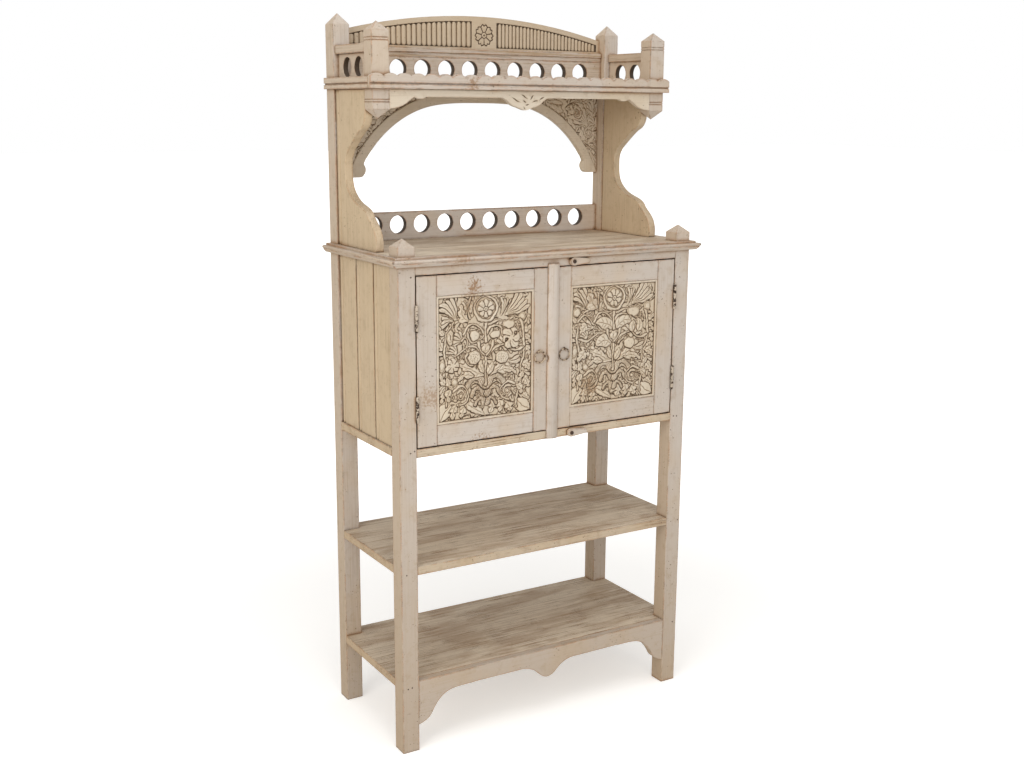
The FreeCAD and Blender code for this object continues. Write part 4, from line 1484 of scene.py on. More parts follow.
def reed_group() -> Repeat:
    """Row of upright reeds under an arc, each a little fuller or thinner than the next.

    Returns:
        The group, with its sizes as named inputs.
    """
    group = Repeat("reeds_under_an_arc")
    form, seed = group.input("Reed", "NodeSocketObject"), group.input("Seed", "NodeSocketInt")
    count = group.input("Count", "NodeSocketInt")
    first, pitch, base = group.input("First"), group.input("Pitch"), group.input("Base")
    middle, radius, centre = group.input("Middle"), group.input("Radius"), group.input("Centre")
    half, face, fullness = group.input("Half width"), group.input("Face"), group.input("Fullness")
    start = group.node("ShaderNodeCombineXYZ", None, {"X": first, "Y": face, "Z": base})
    step = group.node("ShaderNodeCombineXYZ", None, {"X": pitch})
    line = group.node("GeometryNodeMeshLine", None,
                      {"Count": count, "Start Location": start.outputs[0], "Offset": step.outputs[0]})
    place = group.node("ShaderNodeSeparateXYZ", None,
                       {0: group.node("GeometryNodeInputPosition").outputs[0]}).outputs[0]
    off = group.plus(group.math("ABSOLUTE", group.less(place, middle)), half)
    arc = group.math("SQRT", group.less(group.times(radius, radius), group.times(off, off)))
    tall = group.less(group.plus(centre, arc), base)
    wide = group.times(group.random(0.88, 1.0, seed), fullness)
    size = group.node("ShaderNodeCombineXYZ", None, {"X": wide, "Y": 1.0, "Z": tall})
    group.close(line.outputs[0], form, Scale=size.outputs[0])
    return group


# Sub-assemblies


@dataclass
class Carcass:
    """Posts, shelves, panelling, counter and the other plain root pieces."""

    rounding: float = 1.1
    fine_rounding: float = 0.7
    nodes: dict[Slot, tuple[str, ...]] = field(default_factory=lambda: {
        Slot.CREAM: ("front_left_post", "front_right_post", "rear_left_post", "rear_right_post",
                     "top_rail", "lower_back_rail", "lower_apron"),
        Slot.SHELF: ("lower_shelf", "middle_shelf", "cupboard_floor", "counter_top", "upper_shelf"),
        Slot.SIDE: ("left_upper_side_board", "right_upper_side_board"),
    })
    fine_nodes: dict[Slot, tuple[str, ...]] = field(default_factory=lambda: {
        Slot.CREAM: ("counter_moulding_front", "counter_moulding_left", "counter_moulding_right",
                     "left_small_post", "right_small_post", "scalloped_fascia", "left_shelf_moulding",
                     "right_shelf_moulding", "gallery_rail_rear", "gallery_cap_rear",
                     "left_side_gallery", "right_side_gallery", "left_side_cap", "right_side_cap"),
        Slot.SIDE: ("left_side_panelling", "right_side_panelling"),
        Slot.BARE: ("back_boards",),
    })

    def build(self, shop: Workshop) -> None:
        """Makes every plain piece of the carcass and the top unit.

        Args:
            shop: Workshop that finishes the pieces.
        """
        for width, group in ((self.rounding, self.nodes), (self.fine_rounding, self.fine_nodes)):
            for slot, names in group.items():
                for name in names:
                    shop.soften(name, "root", slot, width)


def edge_leaves(left: bool) -> list[Form]:
    """Corner leaves, edge stems and their small leaves of a door panel.

    Args:
        left: True for the left door's version.

    Returns:
        The forms.
    """
    forms = [
        Fan((-58, 40), 30.0, 2.6, 1.9, 5), Fan((52, 10), 38.0, 1.2, 2.2, 6),
        Fan((-58, -4), 34.0, 4.1, 1.9, 5), Fan((56, -14), 40.0, -0.7, 1.8, 5),
        Fan((-84, 87), 35.0, 3.0, 1.0, 3), Fan((-75, 88), 60.0, 2.02, 1.0, 4),
        Fan((-50, 80), 50.0, 1.55, 0.62, 3), Fan((51, 92), 70.0, 0.45, 1.0, 5),
        Fan((40, 90), 46.0, 1.15, 0.6, 3), Fan((-98, 6), 34.0, 2.2, 1.2, 3),
        Fan((97, 16), 32.0, 0.6, 1.2, 3), Fan((-97, -54), 34.0, 3.6, 1.3, 4),
        Fan((94, -36), 34.0, -0.3, 1.5, 4), Disc((96, 87), 9.5, rim=3.0),
        Disc((-113, -12), 8.0, 15.0, rim=2.5),
        Leaf(((-93, -104), (-106, -118), (-122, -140)), 14.0, veins=0),
        Leaf(((-103, 60), (-114, 64), (-121, 80)), 6.0, 2),
        Leaf(((-104, 22), (-115, 32), (-120, 52)), 6.5, 3),
        Leaf(((-103, -60), (-113, -46), (-118, -28)), 6.5, 2),
        Leaf(((-103, -72), (-112, -84), (-118, -100)), 6.0, 2),
        Stem(((-105, 0), (-106, 28), (-103, 55), (-98, 66), (-89, 76), (-72, 87)), 3.2, 2.6),
        Stem(((-103, 0), (-100, -25), (-100, -50), (-103, -75), (-103, -106)), 3.2, 2.6),
        Leaf(((101, 60), (113, 54), (121, 64)), 6.5, 2), Leaf(((101, 40), (112, 34), (121, 18)), 6.5, 2),
        Leaf(((103, 14), (113, 8), (120, -10)), 6.0, 2), Leaf(((96, -26), (109, -28), (119, -46)), 8.0, 3),
        Leaf(((96, -58), (107, -66), (118, -86)), 8.0, 3),
        Leaf(((86, -98), (100, -100), (118, -112)), 8.5, 3),
        Leaf(((84, -112), (98, -124), (120, -138)), 13.0, veins=0),
    ]
    reach = 97 if left else 90
    forms += [Stem(((92, 78), (100, 60), (100, 30), (104, 10), (reach, -20), (reach - 4, -42), (reach, -60),
                    (88, -82), (84, -100), (82, -128)), 3.2, 2.6)]
    if left:
        forms += [Leaf(((-46, 82), (-60, 97), (-66, 124)), 9.5, 3),
                  Leaf(((-43, 102), (-37, 116), (-33, 130)), 4.5),
                  Stem(((-82, 84), (-87, 74), (-82, 62)), 2.4, 2.0)]
    else:
        forms += [Leaf(((-50, 84), (-66, 104), (-78, 128)), 13.0, 2, veins=2),
                  Disc((-109, 82), 11.5, rim=3.0),
                  Groove(((-75, 84), (-92, 106), (-115, 136))), Disc((99, 84), 10.0, rim=3.0)]
    return forms


def side_forms(left: bool) -> list[Form]:
    """Buds, fruit, curled leaves and strands between a door panel's edges and its middle.

    Args:
        left: True for the left door's version.

    Returns:
        The forms.
    """
    forms = [
        # Leaves spread from the stem's lower half
        Leaf(((-4, -46), (-34, -30), (-76, -10)), 10.0, 4, veins=5),
        Leaf(((6, -44), (38, -27), (82, -30)), 9.0, 4, veins=5),
        Leaf(((-30, -42), (-56, -40), (-72, -54)), 7.0, 2), Leaf(((30, -40), (58, -34), (84, -50)), 7.5, 3),
        Disc((-80, -52), 8.5, rim=2.5),
        # Buds hang under the leaves that fold over them
        Stem(((-56, 56), (-46, 72), (-26, 76), (-12, 66), (-3, 50)), 3.6, 2.4),
        Stem(((4, 52), (11, 66), (25, 70), (40, 62), (46, 44)), 3.4, 2.6),
        Stem(((4, 72), (28, 80), (52, 78), (72, 84)), 3.0, 2.0),
        Stem(((-46, 57), (-44, 42), (-31, 34), (-16, 38), (-6, 46)), 2.6, 2.0), Disc((-29, 50), 12.5),
        Disc((26, 48.5), 14.0, 10.0),
        Disc((61, 70) if left else (58, 73), 18.0 if left else 20.0, 11.0 if left else 13.0, rim=3.0),
        Groove(((45, 66), (57, 61), (68, 53), (80, 51)), 3.6),
        # Strands sweep out from under the tulip and curl up at their ends
        Stem(((-7, 3), (-22, 20), (-42, 28), (-56, 20), (-74, 10), (-98, 16)), 3.0, 3.4),
        Stem(((8, 3), (22, 16), (38, 24), (56, 22), (72, 8), (100, 12)), 3.0, 3.4),
    ]
    if left:
        forms += [
            Disc((-92, 50), 9.0, 17.0, rim=3.0), Groove(((-92, 38), (-90, 50), (-94, 62)), 2.2),
            Fan((-76, 12), 24.0, 2.2, 1.5, 4), Stem(((-62, 40), (-54, 46), (-48, 38), (-50, 26)), 3.0, 2.2),
            Fan((67, 37), 27.0, 1.35, 2 * math.pi, 6, 0.5), Disc((54, 34), 4.5, crown=0.3),
            Disc((78, 47), 4.5, crown=0.3), Fan((-86, -15), 19.0, 2.6, 2 * math.pi, 6, 0.4),
            Disc((44, -6), 16.5, pits=True), Disc((-31, -1), 16.5, pits=True),
            Stem(((-46, 10), (-52, -2), (-46, -16), (-32, -20)), 2.6, 2.0),
        ]
    else:
        forms += [
            Stem(((-104, 60), (-88, 72), (-70, 62), (-58, 48)), 3.0, 2.4), Disc((48, -5), 15.0),
            Leaf(((-76, 50), (-88, 42), (-98, 26)), 9.0, 3),
            Leaf(((-4, 36), (-26, 50), (-52, 52)), 12.0, veins=5),
            Leaf(((6, 36), (28, 52), (54, 50)), 11.0, veins=4),
            Leaf(((58, 22), (54, 36), (60, 52)), 7.5, veins=2),
            Leaf(((74, 22), (78, 38), (70, 54)), 7.5, veins=2), Fan((-80, 16), 22.0, 1.9, 1.6, 4),
            Leaf(((-8, -2), (-30, 8), (-52, -6)), 12.0, veins=5),
            Leaf(((-72, -6), (-88, -20), (-104, -38)), 12.0, 3), Flower((-76, -9), 9.0, 5, 0.4, 2.6),
        ]
    return forms


def volutes() -> list[Form]:
    """Rolled strands either side of a door panel's foot."""
    return [
        Leaf(((-100, -40), (-96, -58), (-84, -70)), 6.0, 2),
        Leaf(((-92, -66), (-98, -84), (-92, -100)), 7.0, 2),
        Stem(((-84, -72), (-66, -64), (-50, -72), (-45, -88), (-52, -102), (-68, -106)), 3.6, 2.4),
        Scroll((-64, -86), 12.5, 2.4, 1.1, 3.0, True, 4.0), Leaf(((98, -42), (94, -58), (84, -68)), 6.0, 2),
        Leaf(((82, -72), (94, -84), (92, -100)), 7.0, 2),
        Stem(((78, -70), (60, -66), (43, -74), (39, -88), (46, -102), (62, -106)), 3.6, 2.4),
        Scroll((58, -86), 12.0, 0.8, 1.0, 3.0, False, 4.0),
    ]


def palmette() -> list[Form]:
    """Fan of arched and lined leaves at a door panel's foot.

    Returns:
        The forms.
    """
    forms: list[Form] = []
    # Rows of leaf tips under the fan, uneven as they were cut
    for foot, tip, width in (((-60, -112), (-66, -138), 8.0), ((-34, -114), (-38, -138), 7.0),
                             ((14, -104), (12, -134), 9.0), ((34, -106), (38, -136), 8.0),
                             ((58, -112), (64, -138), 9.0)):
        middle = ((foot[0] + tip[0]) / 2 + 3, (foot[1] + tip[1]) / 2)
        forms += [Leaf((foot, middle, tip), width, 2, veins=2)]
    forms += [Leaf(((-78, -106), (-86, -122), (-84, -140)), 8.0, 2),
              Leaf(((-52, -106), (-24, -122), (-3, -139)), 8.0, veins=0)]
    # Ridged leaves fold over, the upper pair the widest
    for foot, rise, reach, width in ((-110, 12, 27, 6.5), (-88, 14, 38, 8.0), (-66, 16, 50, 9.5)):
        for side in (-1, 1):
            forms += [Stem(((side * 3, foot), (side * reach * 0.35, foot + rise),
                            (side * reach * 0.75, foot + rise * 0.9), (side * reach, foot - rise * 0.1)),
                           width, width * 0.6, 0.9, 2)]
    forms += [Groove(((-8, -74), (-26, -62), (-42, -72)), 3.4),
              Groove(((10, -74), (28, -62), (44, -72)), 3.8)]
    return forms


def middle_forms() -> list[Form]:
    """Centre stem, tulip and upright leaves of a door panel."""
    return [
        Leaf(((-4, -40), (-11, -26), (-14, -8)), 5.5, veins=3),
        Leaf(((6, -42), (13, -29), (18, -12)), 6.0, veins=3), Stem(((0, 6), (0, -25), (0, -66)), 2.8, 3.2),
        Leaf(((0, 2), (0, 16), (0, 34)), 8.0, veins=3), Stem(((-18, 32), (-13, 14), (-3, 4)), 4.0, 3.2),
        Stem(((19, 32), (13, 14), (3, 4)), 4.0, 3.2), Stem(((0, 84), (0, 60), (0, 36)), 3.2, 4.0),
    ]


def horseshoe(left: bool) -> list[Form]:
    """Ring with its open flower at a door panel's head.

    Args:
        left: True for the left door's version.

    Returns:
        The forms.
    """
    ring = tuple((29 * math.cos(math.radians(a)), 110 + 29 * math.sin(math.radians(a)))
                 for a in range(-90, 271, 24))
    forms = both(Leaf(((31, 133), (42, 140), (52, 136)), 4.5, veins=0))
    if left:
        forms += [Stem(((-40, 138), (-45, 122), (-44, 104), (-42, 90)), 2.8, 2.4)]
    forms += [Disc((0, 110), 30.0, crown=0.4), Stem(ring, 3.3, 3.3, 0.92),
              Flower((0.5, 110), 21.5, 8, 0.0 if left else 0.3, 4.8)]
    return forms


def door_design(left: bool) -> list[Form]:
    """Flower, fruit and leaf carving of a door panel, about the panel's middle.

    Args:
        left: True for the left door's version.

    Returns:
        The forms in the order in which they are carved.
    """
    return [*edge_leaves(left), *palmette(), *side_forms(left), *volutes(), *middle_forms(),
            *horseshoe(left)]


@dataclass
class CarvedDoor:
    """One door: frame pieces, carved panel and its plate."""

    side: str
    step: float = 0.92
    relief_depth: float = 4.6
    ground_share: float = 0.52
    fullness: float = 1.35
    leaf_pitch: float = 19.0
    margin: float = 5.0
    plate_setback: float = 6.0
    field_setback: float = 1.0
    field_clearance: float = 0.3
    rebate: float = 8.0
    rounding: float = 1.5
    seeds: dict[str, int] = field(default_factory=lambda: {"left": 31, "right": 47})

    @property
    def body(self) -> str:
        """CAD body of this door."""
        return f"{self.side}_door"

    def build(self, shop: Workshop) -> None:
        """Makes the door's pieces.

        Args:
            shop: Workshop that finishes the pieces.
        """
        for part in ("hinge_stile", "meeting_stile", "top_rail", "bottom_rail"):
            shop.soften(f"{self.body}_{part}", self.body, Slot.CREAM, self.rounding)
        if self.side == "right":
            shop.soften("meeting_strip", self.body, Slot.CREAM, 0.9)
        self.panel(shop)

    def carving(self, x: tuple[float, float], z: tuple[float, float]) -> Relief:
        """Relief of the panel's field about its middle.

        Args:
            x: Left and right edge of the field.
            z: Lower and upper edge of the field.

        Returns:
            The carved relief with its plain rim.
        """
        relief = Relief(x, z, self.step, self.relief_depth, self.ground_share)
        relief.by_hand(self.fullness)
        u, v = np.meshgrid(relief.x, relief.z, indexing="ij")
        undergrowth(relief, self.leaf_pitch, self.seeds[self.side])
        for form in door_design(self.side == "left"):
            form.carve(relief)
        inward = np.minimum(relief.x[-1] - np.abs(u), relief.z[-1] - np.abs(v))
        relief.height = np.maximum(relief.height * ease(inward, self.margin - 0.6, self.margin + 1.4),
                                   relief.top * ease(self.margin - inward, -1.2, 0.2))
        return relief

    def panel(self, shop: Workshop) -> None:
        """Carved field and the plate behind it.

        Args:
            shop: Workshop that finishes the pieces.
        """
        node = f"{self.body}_carved_panel"
        low, high = box_of(node)
        inset = self.rebate + self.field_clearance
        x, z = (low[0] + inset, high[0] - inset), (low[2] + inset, high[2] - inset)
        face = low[1]
        middle = ((x[0] + x[1]) / 2, (z[0] + z[1]) / 2)
        relief = self.carving((x[0] - middle[0], x[1] - middle[0]), (z[0] - middle[1], z[1] - middle[1]))
        relief.x, relief.z = relief.x + middle[0], relief.z + middle[1]
        back = face + self.plate_setback - self.field_setback
        made = carved_board(f"{node}_relief", relief, face, back)
        shop.hand_over(made, self.body, Slot.CARVED, node, along=2)
        plate = show(f"{node}_plate", box_mesh(f"{node}_plate", (low[0], back, low[2]), tuple(high)))
        shop.hand_over(plate, self.body, Slot.CARVED, along=2)


@dataclass
class ArchBoard:
    """Back board of the top unit with a banded arch, carved corners and two knobs."""

    step: float = 1.25
    relief_depth: float = 4.4
    band: float = 22.0
    knob_radius: float = 18.0
    knob_inset: float = 30.0
    neck: float = 41.6
    knob_lift: float = 0.4
    knob_sunk: float = 1.0
    ground_share: float = 0.74
    fullness: float = 1.15
    leaf_pitch: float = 17.0
    seed: int = 23
    neck_angle: float = 130.0
    overrun: float = 40.0

    def design(self, reach: float, top: float) -> list[Form]:
        """Leaf carving of the right-hand corner, mirrored to the left.

        Args:
            reach: Right-hand edge of the board.
            top: Upper edge of the board.

        Returns:
            The forms.
        """

        def spot(x: float, z: float) -> Point:
            """Place measured from the corner."""
            return reach + x, top + z

        def at(*points: Point) -> tuple[Point, ...]:
            """Places measured from the corner."""
            return tuple(spot(x, z) for x, z in points)

        right = [
            Leaf(at((-104, -48), (-130, -36), (-160, -26)), 7.0, 3),
            Leaf(at((-108, -28), (-128, -22), (-148, -20)), 4.5),
            Fan(spot(-30, -84), 72.0, 2.25, 1.25, 5, 0.3), Fan(spot(-14, -60), 46.0, 1.8, 0.9, 3),
            Leaf(at((-92, -60), (-80, -76), (-64, -92)), 7.0, 2),
            Leaf(at((-50, -92), (-44, -110), (-30, -128)), 7.0, 3),
            Stem(at((-66, -96), (-56, -84), (-42, -84), (-30, -92)), 3.0, 2.4),
            Scroll(spot(-24, -101), 16.0, 1.2, 1.2, 3.4, False, 5.0),
            Scroll(spot(-64, -50), 15.0, 0.3, 1.1, 3.2, True, 4.5),
            Stem(at((-40, -122), (-26, -136), (-6, -140)), 3.2, 2.4),
            Fan(spot(-20, -146), 46.0, -1.3, 0.8, 3, 0.2),
            Groove(at((-100, -40), (-92, -30), (-75, -25), (-52, -33)), 4.0),
            Groove(at((-60, -68), (-52, -70), (-45, -64)), 3.4),
            Groove(at((-37, -22), (-35, -35), (-20, -45), (-8, -52)), 3.2),
            Groove(at((-7, -30), (-5, -38), (-3, -44)), 4.0),
            Groove(at((-4, -54), (-4, -58), (-4, -63)), 4.0),
            Groove(at((-30, -86), (-29, -90), (-28, -95)), 3.2),
            Groove(at((-31, -115), (-26, -117), (-21, -116)), 3.0),
            Groove(at((-66, -96), (-58, -92), (-50, -85)), 3.2),
            Groove(at((-45, -115), (-35, -128), (-15, -140), (-3, -143)), 3.4),
            Groove(at((-22, -166), (-14, -178), (-5, -190)), 3.4),
            Groove(at((-160, -38), (-140, -47), (-112, -58), (-100, -67), (-80, -88), (-66, -100),
                      (-48, -122), (-30, -136), (-24, -150)), 4.2),
        ]
        return both(*right)

    def build(self, shop: Workshop) -> None:
        """Makes the carved board and its knobs.

        Args:
            shop: Workshop that finishes the pieces.
        """
        low, high = box_of("arch_board")
        reach = high[0]
        relief = Relief((low[0], high[0]), (low[2], high[2]), self.step, self.relief_depth,
                        self.ground_share)
        relief.by_hand(self.fullness)
        # Shallower cuts and a negative veil of wax keep the arch carving light in the shade under the shelf;
        # the negative veil is painted light
        relief.pocket *= 0.15
        relief.keenness *= 0.42
        relief.veil = -0.32
        edges = face_edges("arch_board", relief.x)
        away = np.abs(relief.x)
        outer = away > reach - self.knob_inset - self.knob_radius - self.step
        inner = away <= reach - self.neck
        between = outer & inner
        neck_z = low[2] + self.knob_radius * (1 + math.sin(math.radians(self.neck_angle)))
        shoulder = edges.low[(~outer) & (away > reach * 0.8)].min()
        edges.low[between] = np.interp(away[between], [away[between].min(), reach - self.neck],
                                       [shoulder, neck_z])
        arch = [(x, z) for x, z in zip(relief.x, edges.low) if abs(x) <= reach - self.neck][::4]
        feet = [(side * reach, low[2] - self.overrun) for side in (-1, 1)]
        path = np.array([feet[0], *arch, feet[1]], float)
        x, z = np.meshgrid(relief.x, relief.z, indexing="ij")
        distance = np.abs(along(path, x, z)[0])
        undergrowth(relief, self.leaf_pitch, self.seed)
        for form in self.design(reach, high[2]):
            form.carve(relief)
        headroom = (high[2] - edges.low)[:, None] > self.band + 9
        field_mask = headroom * ease(distance, self.band + 0.5, self.band + 2.5)
        plain = relief.top * (1 - field_mask)
        relief.height = np.maximum(relief.height * field_mask, plain)
        knob_z = low[2] + self.knob_radius
        # A cut arc parts each knob from the band
        knob_x = reach - self.knob_inset
        for form in both(Groove(((knob_x - 14, knob_z + 12), (knob_x - 7, knob_z + 17),
                                 (knob_x + 6, knob_z + 8)), 4.0)):
            form.carve(relief)
        for side in (-1, 1):
            radius = np.hypot(x - side * knob_x, z - knob_z)
            lowered = relief.height - (relief.top - self.knob_lift)
            relief.height -= lowered * (radius < self.knob_radius + 2)
        made = carved_board("arch_board_relief", relief, low[1], high[1], edges)
        shop.hand_over(made, "root", Slot.CARVED, "arch_board", along=0)
        for side, name in ((-1, "left"), (1, "right")):
            self.knob(shop, name, side * knob_x, knob_z, low[1], high[1])

    def knob(self, shop: Workshop, name: str, x: float, z: float, face: float,
             back: float) -> None:
        """Plain round knob at one end of the arch.

        Args:
            shop: Workshop that finishes the pieces.
            name: Side of the knob.
            x: Its middle across.
            z: Its middle up.
            face: Front of the board.
            back: Back of the board.
        """
        side = self.knob_radius - 0.2
        profile = [(0.0, 0.0), (self.knob_radius - 2.2, 0.15), (self.knob_radius - 0.9, 0.7),
                   (side, 1.9), (side, back - face - self.knob_sunk)]
        made = show(f"{name}_arch_knob", turned(f"{name}_arch_knob", profile, (x, face, z), 48))
        shop.hand_over(made, "root", Slot.CARVED, along=2)


def turned(name: str, profile: Sequence[Point], place: Sequence[float], around: int) -> bpy.types.Mesh:
    """Solid turned about a level axis that points to the front.

    Args:
        name: Name of the mesh.
        profile: Radius and setback of each ring, from the front.
        place: Centre of the front.
        around: Number of sides.

    Returns:
        The mesh, in metres.
    """
    angles = np.linspace(0, 2 * math.pi, around, endpoint=False)
    places, faces = [], []
    for radius, setback in profile:
        for angle in angles:
            places.append([place[0] + radius * math.cos(angle), place[1] + setback,
                           place[2] + radius * math.sin(angle)])
    rings = len(profile)
    for ring in range(rings - 1):
        for i in range(around):
            j = (i + 1) % around
            this, following = ring * around, (ring + 1) * around
            faces.append((this + i, this + j, following + j, following + i))
    faces.append(tuple((rings - 1) * around + i for i in range(around)))
    mesh = mesh_of(name, places, faces)
    with editing(mesh) as edit:
        bmesh.ops.remove_doubles(edit, verts=edit.verts, dist=WELD / 10 * MM)
        bmesh.ops.recalc_face_normals(edit, faces=edit.faces)
    shade_smooth(mesh, CREASED_PAST - 10)
    return mesh


@dataclass
class CrestBoard:
    """Arched crest with two reeded fields either side of a rosette."""

    step: float = 1.0
    field_depth: float = 3.0
    field_margin: float = 12.0
    field_rise: float = 4.5
    end_margin: float = 8.0
    centre_offset: float = 14.0
    clear: float = 35.0
    crest_offset: float = -10.0
    crest_sag: float = 47.0
    rosette_rise: float = 34.5
    rosette_radius: float = 25.5
    left_pitch: float = 13.6
    right_pitch: float = 10.4
    reed_radius: float = 6.2
    reed_seed: int = 11
    petals: int = 7
    # Rows and columns of a reed's faces, and the share of its height that each end rounds over
    reed_faces: tuple[int, int] = (26, 14)
    reed_end: float = 0.14

    def build(self, shop: Workshop) -> None:
        """Makes the crest and its reeds.

        Args:
            shop: Workshop that finishes the pieces.
        """
        low, high = box_of("crest_board")
        reach = high[0]
        arc = ((reach - self.crest_offset) ** 2 + self.crest_sag ** 2) / (2 * self.crest_sag)
        centre_z = high[2] - arc
        relief = Relief((low[0], high[0]), (low[2], high[2]), self.step, self.field_depth)
        relief.edge, relief.halo, relief.veil = 1.3, 1.2, 0.34
        edges = face_edges("crest_board", relief.x)
        x, z = np.meshgrid(relief.x, relief.z, indexing="ij")
        under = arc - self.field_margin - np.hypot(x - self.crest_offset, z - centre_z)
        above = z - (low[2] + self.field_rise)
        panels = ((-reach + self.end_margin, self.centre_offset - self.clear),
                  (self.centre_offset + self.clear, reach - self.end_margin))
        for left, right in panels:
            inside = np.minimum(np.minimum(under, above), np.minimum(x - left, right - x))
            relief.height -= relief.top * ease(inside, -0.2, 0.9)
        centre = (self.centre_offset, low[2] + self.rosette_rise)
        relief.edge, relief.halo = 2.4, 2.2
        Flower(centre, self.rosette_radius, self.petals, math.pi / 2, 6.5, 0.14).carve(relief)
        relief.height = np.clip(relief.height, 0, relief.top)
        made = carved_board("crest_board_relief", relief, low[1], high[1], edges)
        shop.hand_over(made, "root", Slot.CARVED, "crest_board", along=0)
        group = reed_group()
        reed = show("reed", self.reed())
        pitches = (self.left_pitch, self.right_pitch)
        for number, ((left, right), pitch) in enumerate(zip(panels, pitches)):
            count = int((right - left) / pitch)
            first = (left + right) / 2 - (count - 1) * pitch / 2
            row = show(f"crest_reeds_{number + 1}", bpy.data.meshes.new("reeds"))
            group.apply(row, {
                "Reed": reed, "Seed": self.reed_seed + number, "Count": count, "First": first * MM,
                "Pitch": pitch * MM, "Fullness": pitch / self.left_pitch,
                "Base": (low[2] + self.field_rise) * MM, "Middle": self.crest_offset * MM,
                "Radius": (arc - self.field_margin) * MM, "Centre": centre_z * MM,
                "Half width": self.reed_radius * MM, "Face": low[1] * MM,
                "Material": shop.finish(Slot.CARVED)})
            self.wax(row, low[1])
            shop.hand_over(row, "root", Slot.CARVED, along=2)
        bpy.data.objects.remove(reed)

    def reed(self) -> bpy.types.Mesh:
        """One reed, a metre tall in its own scale, with its foot at the origin.

        Returns:
            The mesh.
        """
        upward, across = self.reed_faces
        places, faces = [], []
        for row in range(upward + 1):
            share = row / upward
            end = min(share, 1 - share) / self.reed_end
            rounded = math.sqrt(max(0.0, 1 - (1 - min(end, 1.0)) ** 2))
            width = self.reed_radius * (rounded * 0.98 + 0.02)
            for column in range(across + 1):
                angle = math.pi * column / across
                bulge = math.sin(angle) ** 0.8 * (width / self.reed_radius) ** 0.5
                setback = 0.15 + (self.field_depth - 0.15) * (1 - bulge)
                places.append((-width * math.cos(angle) * MM, setback * MM, share))
        for row in range(upward):
            for column in range(across):
                a = row * (across + 1) + column
                faces.append((a, a + 1, a + across + 2, a + across + 1))
        mesh = bpy.data.meshes.new("reed")
        mesh.from_pydata(places, [], faces)
        return mesh

    def wax(self, row: bpy.types.Object, face: float) -> None:
        """Marks the deep sides of the reeds, between them, for dark waxing and painted shade.

        Args:
            row: Row of reeds.
            face: Front of the board.
        """
        depth = (vertices_of(row.data)[:, 1] / MM - face) / self.field_depth
        store(row.data, "recess", np.clip(depth * 0.5 + 0.3, 0, 1.0))


@dataclass
class UpperApron:
    """Scrolled board under the upper shelf with a cut leaf in the middle."""

    step: float = 1.2
    relief_depth: float = 4.0
    stroke_depth: float = 2.4
    # Width of each cut and its places across and below the shelf
    strokes: tuple[tuple[float, tuple[Point, ...]], ...] = (
        (5.0, ((-18, -7), (-10, -10), (-5, -14), (3, -18))),
        (5.0, ((18, -8), (14, -12), (12, -16), (8, -20))),
        (4.2, ((-44, -13), (-34, -18), (-28, -22), (-17, -26))), (3.8, ((-12, -20), (-6, -24), (-3, -28))),
        (3.4, ((-5, -32), (0, -31), (6, -30))), (3.6, ((12, -26), (22, -22), (34, -21))),
        (4.0, ((33, -21), (38, -17), (48, -12))), (3.4, ((14, -37), (17, -40), (21, -44))),
        (3.0, ((-10, -34), (-8, -38), (-4, -42))),
    )

    def build(self, shop: Workshop) -> None:
        """Makes the apron.

        Args:
            shop: Workshop that finishes the pieces.
        """
        low, high = box_of("upper_apron")
        relief = Relief((low[0], high[0]), (low[2], high[2]), self.step, self.relief_depth)
        edges = face_edges("upper_apron", relief.x)
        for width, points in self.strokes:
            relief.cut([(x, high[2] + z) for x, z in points], width, self.stroke_depth)
        made = carved_board("upper_apron_relief", relief, low[1], high[1], edges)
        shop.hand_over(made, "root", Slot.CARVED, "upper_apron", along=0)


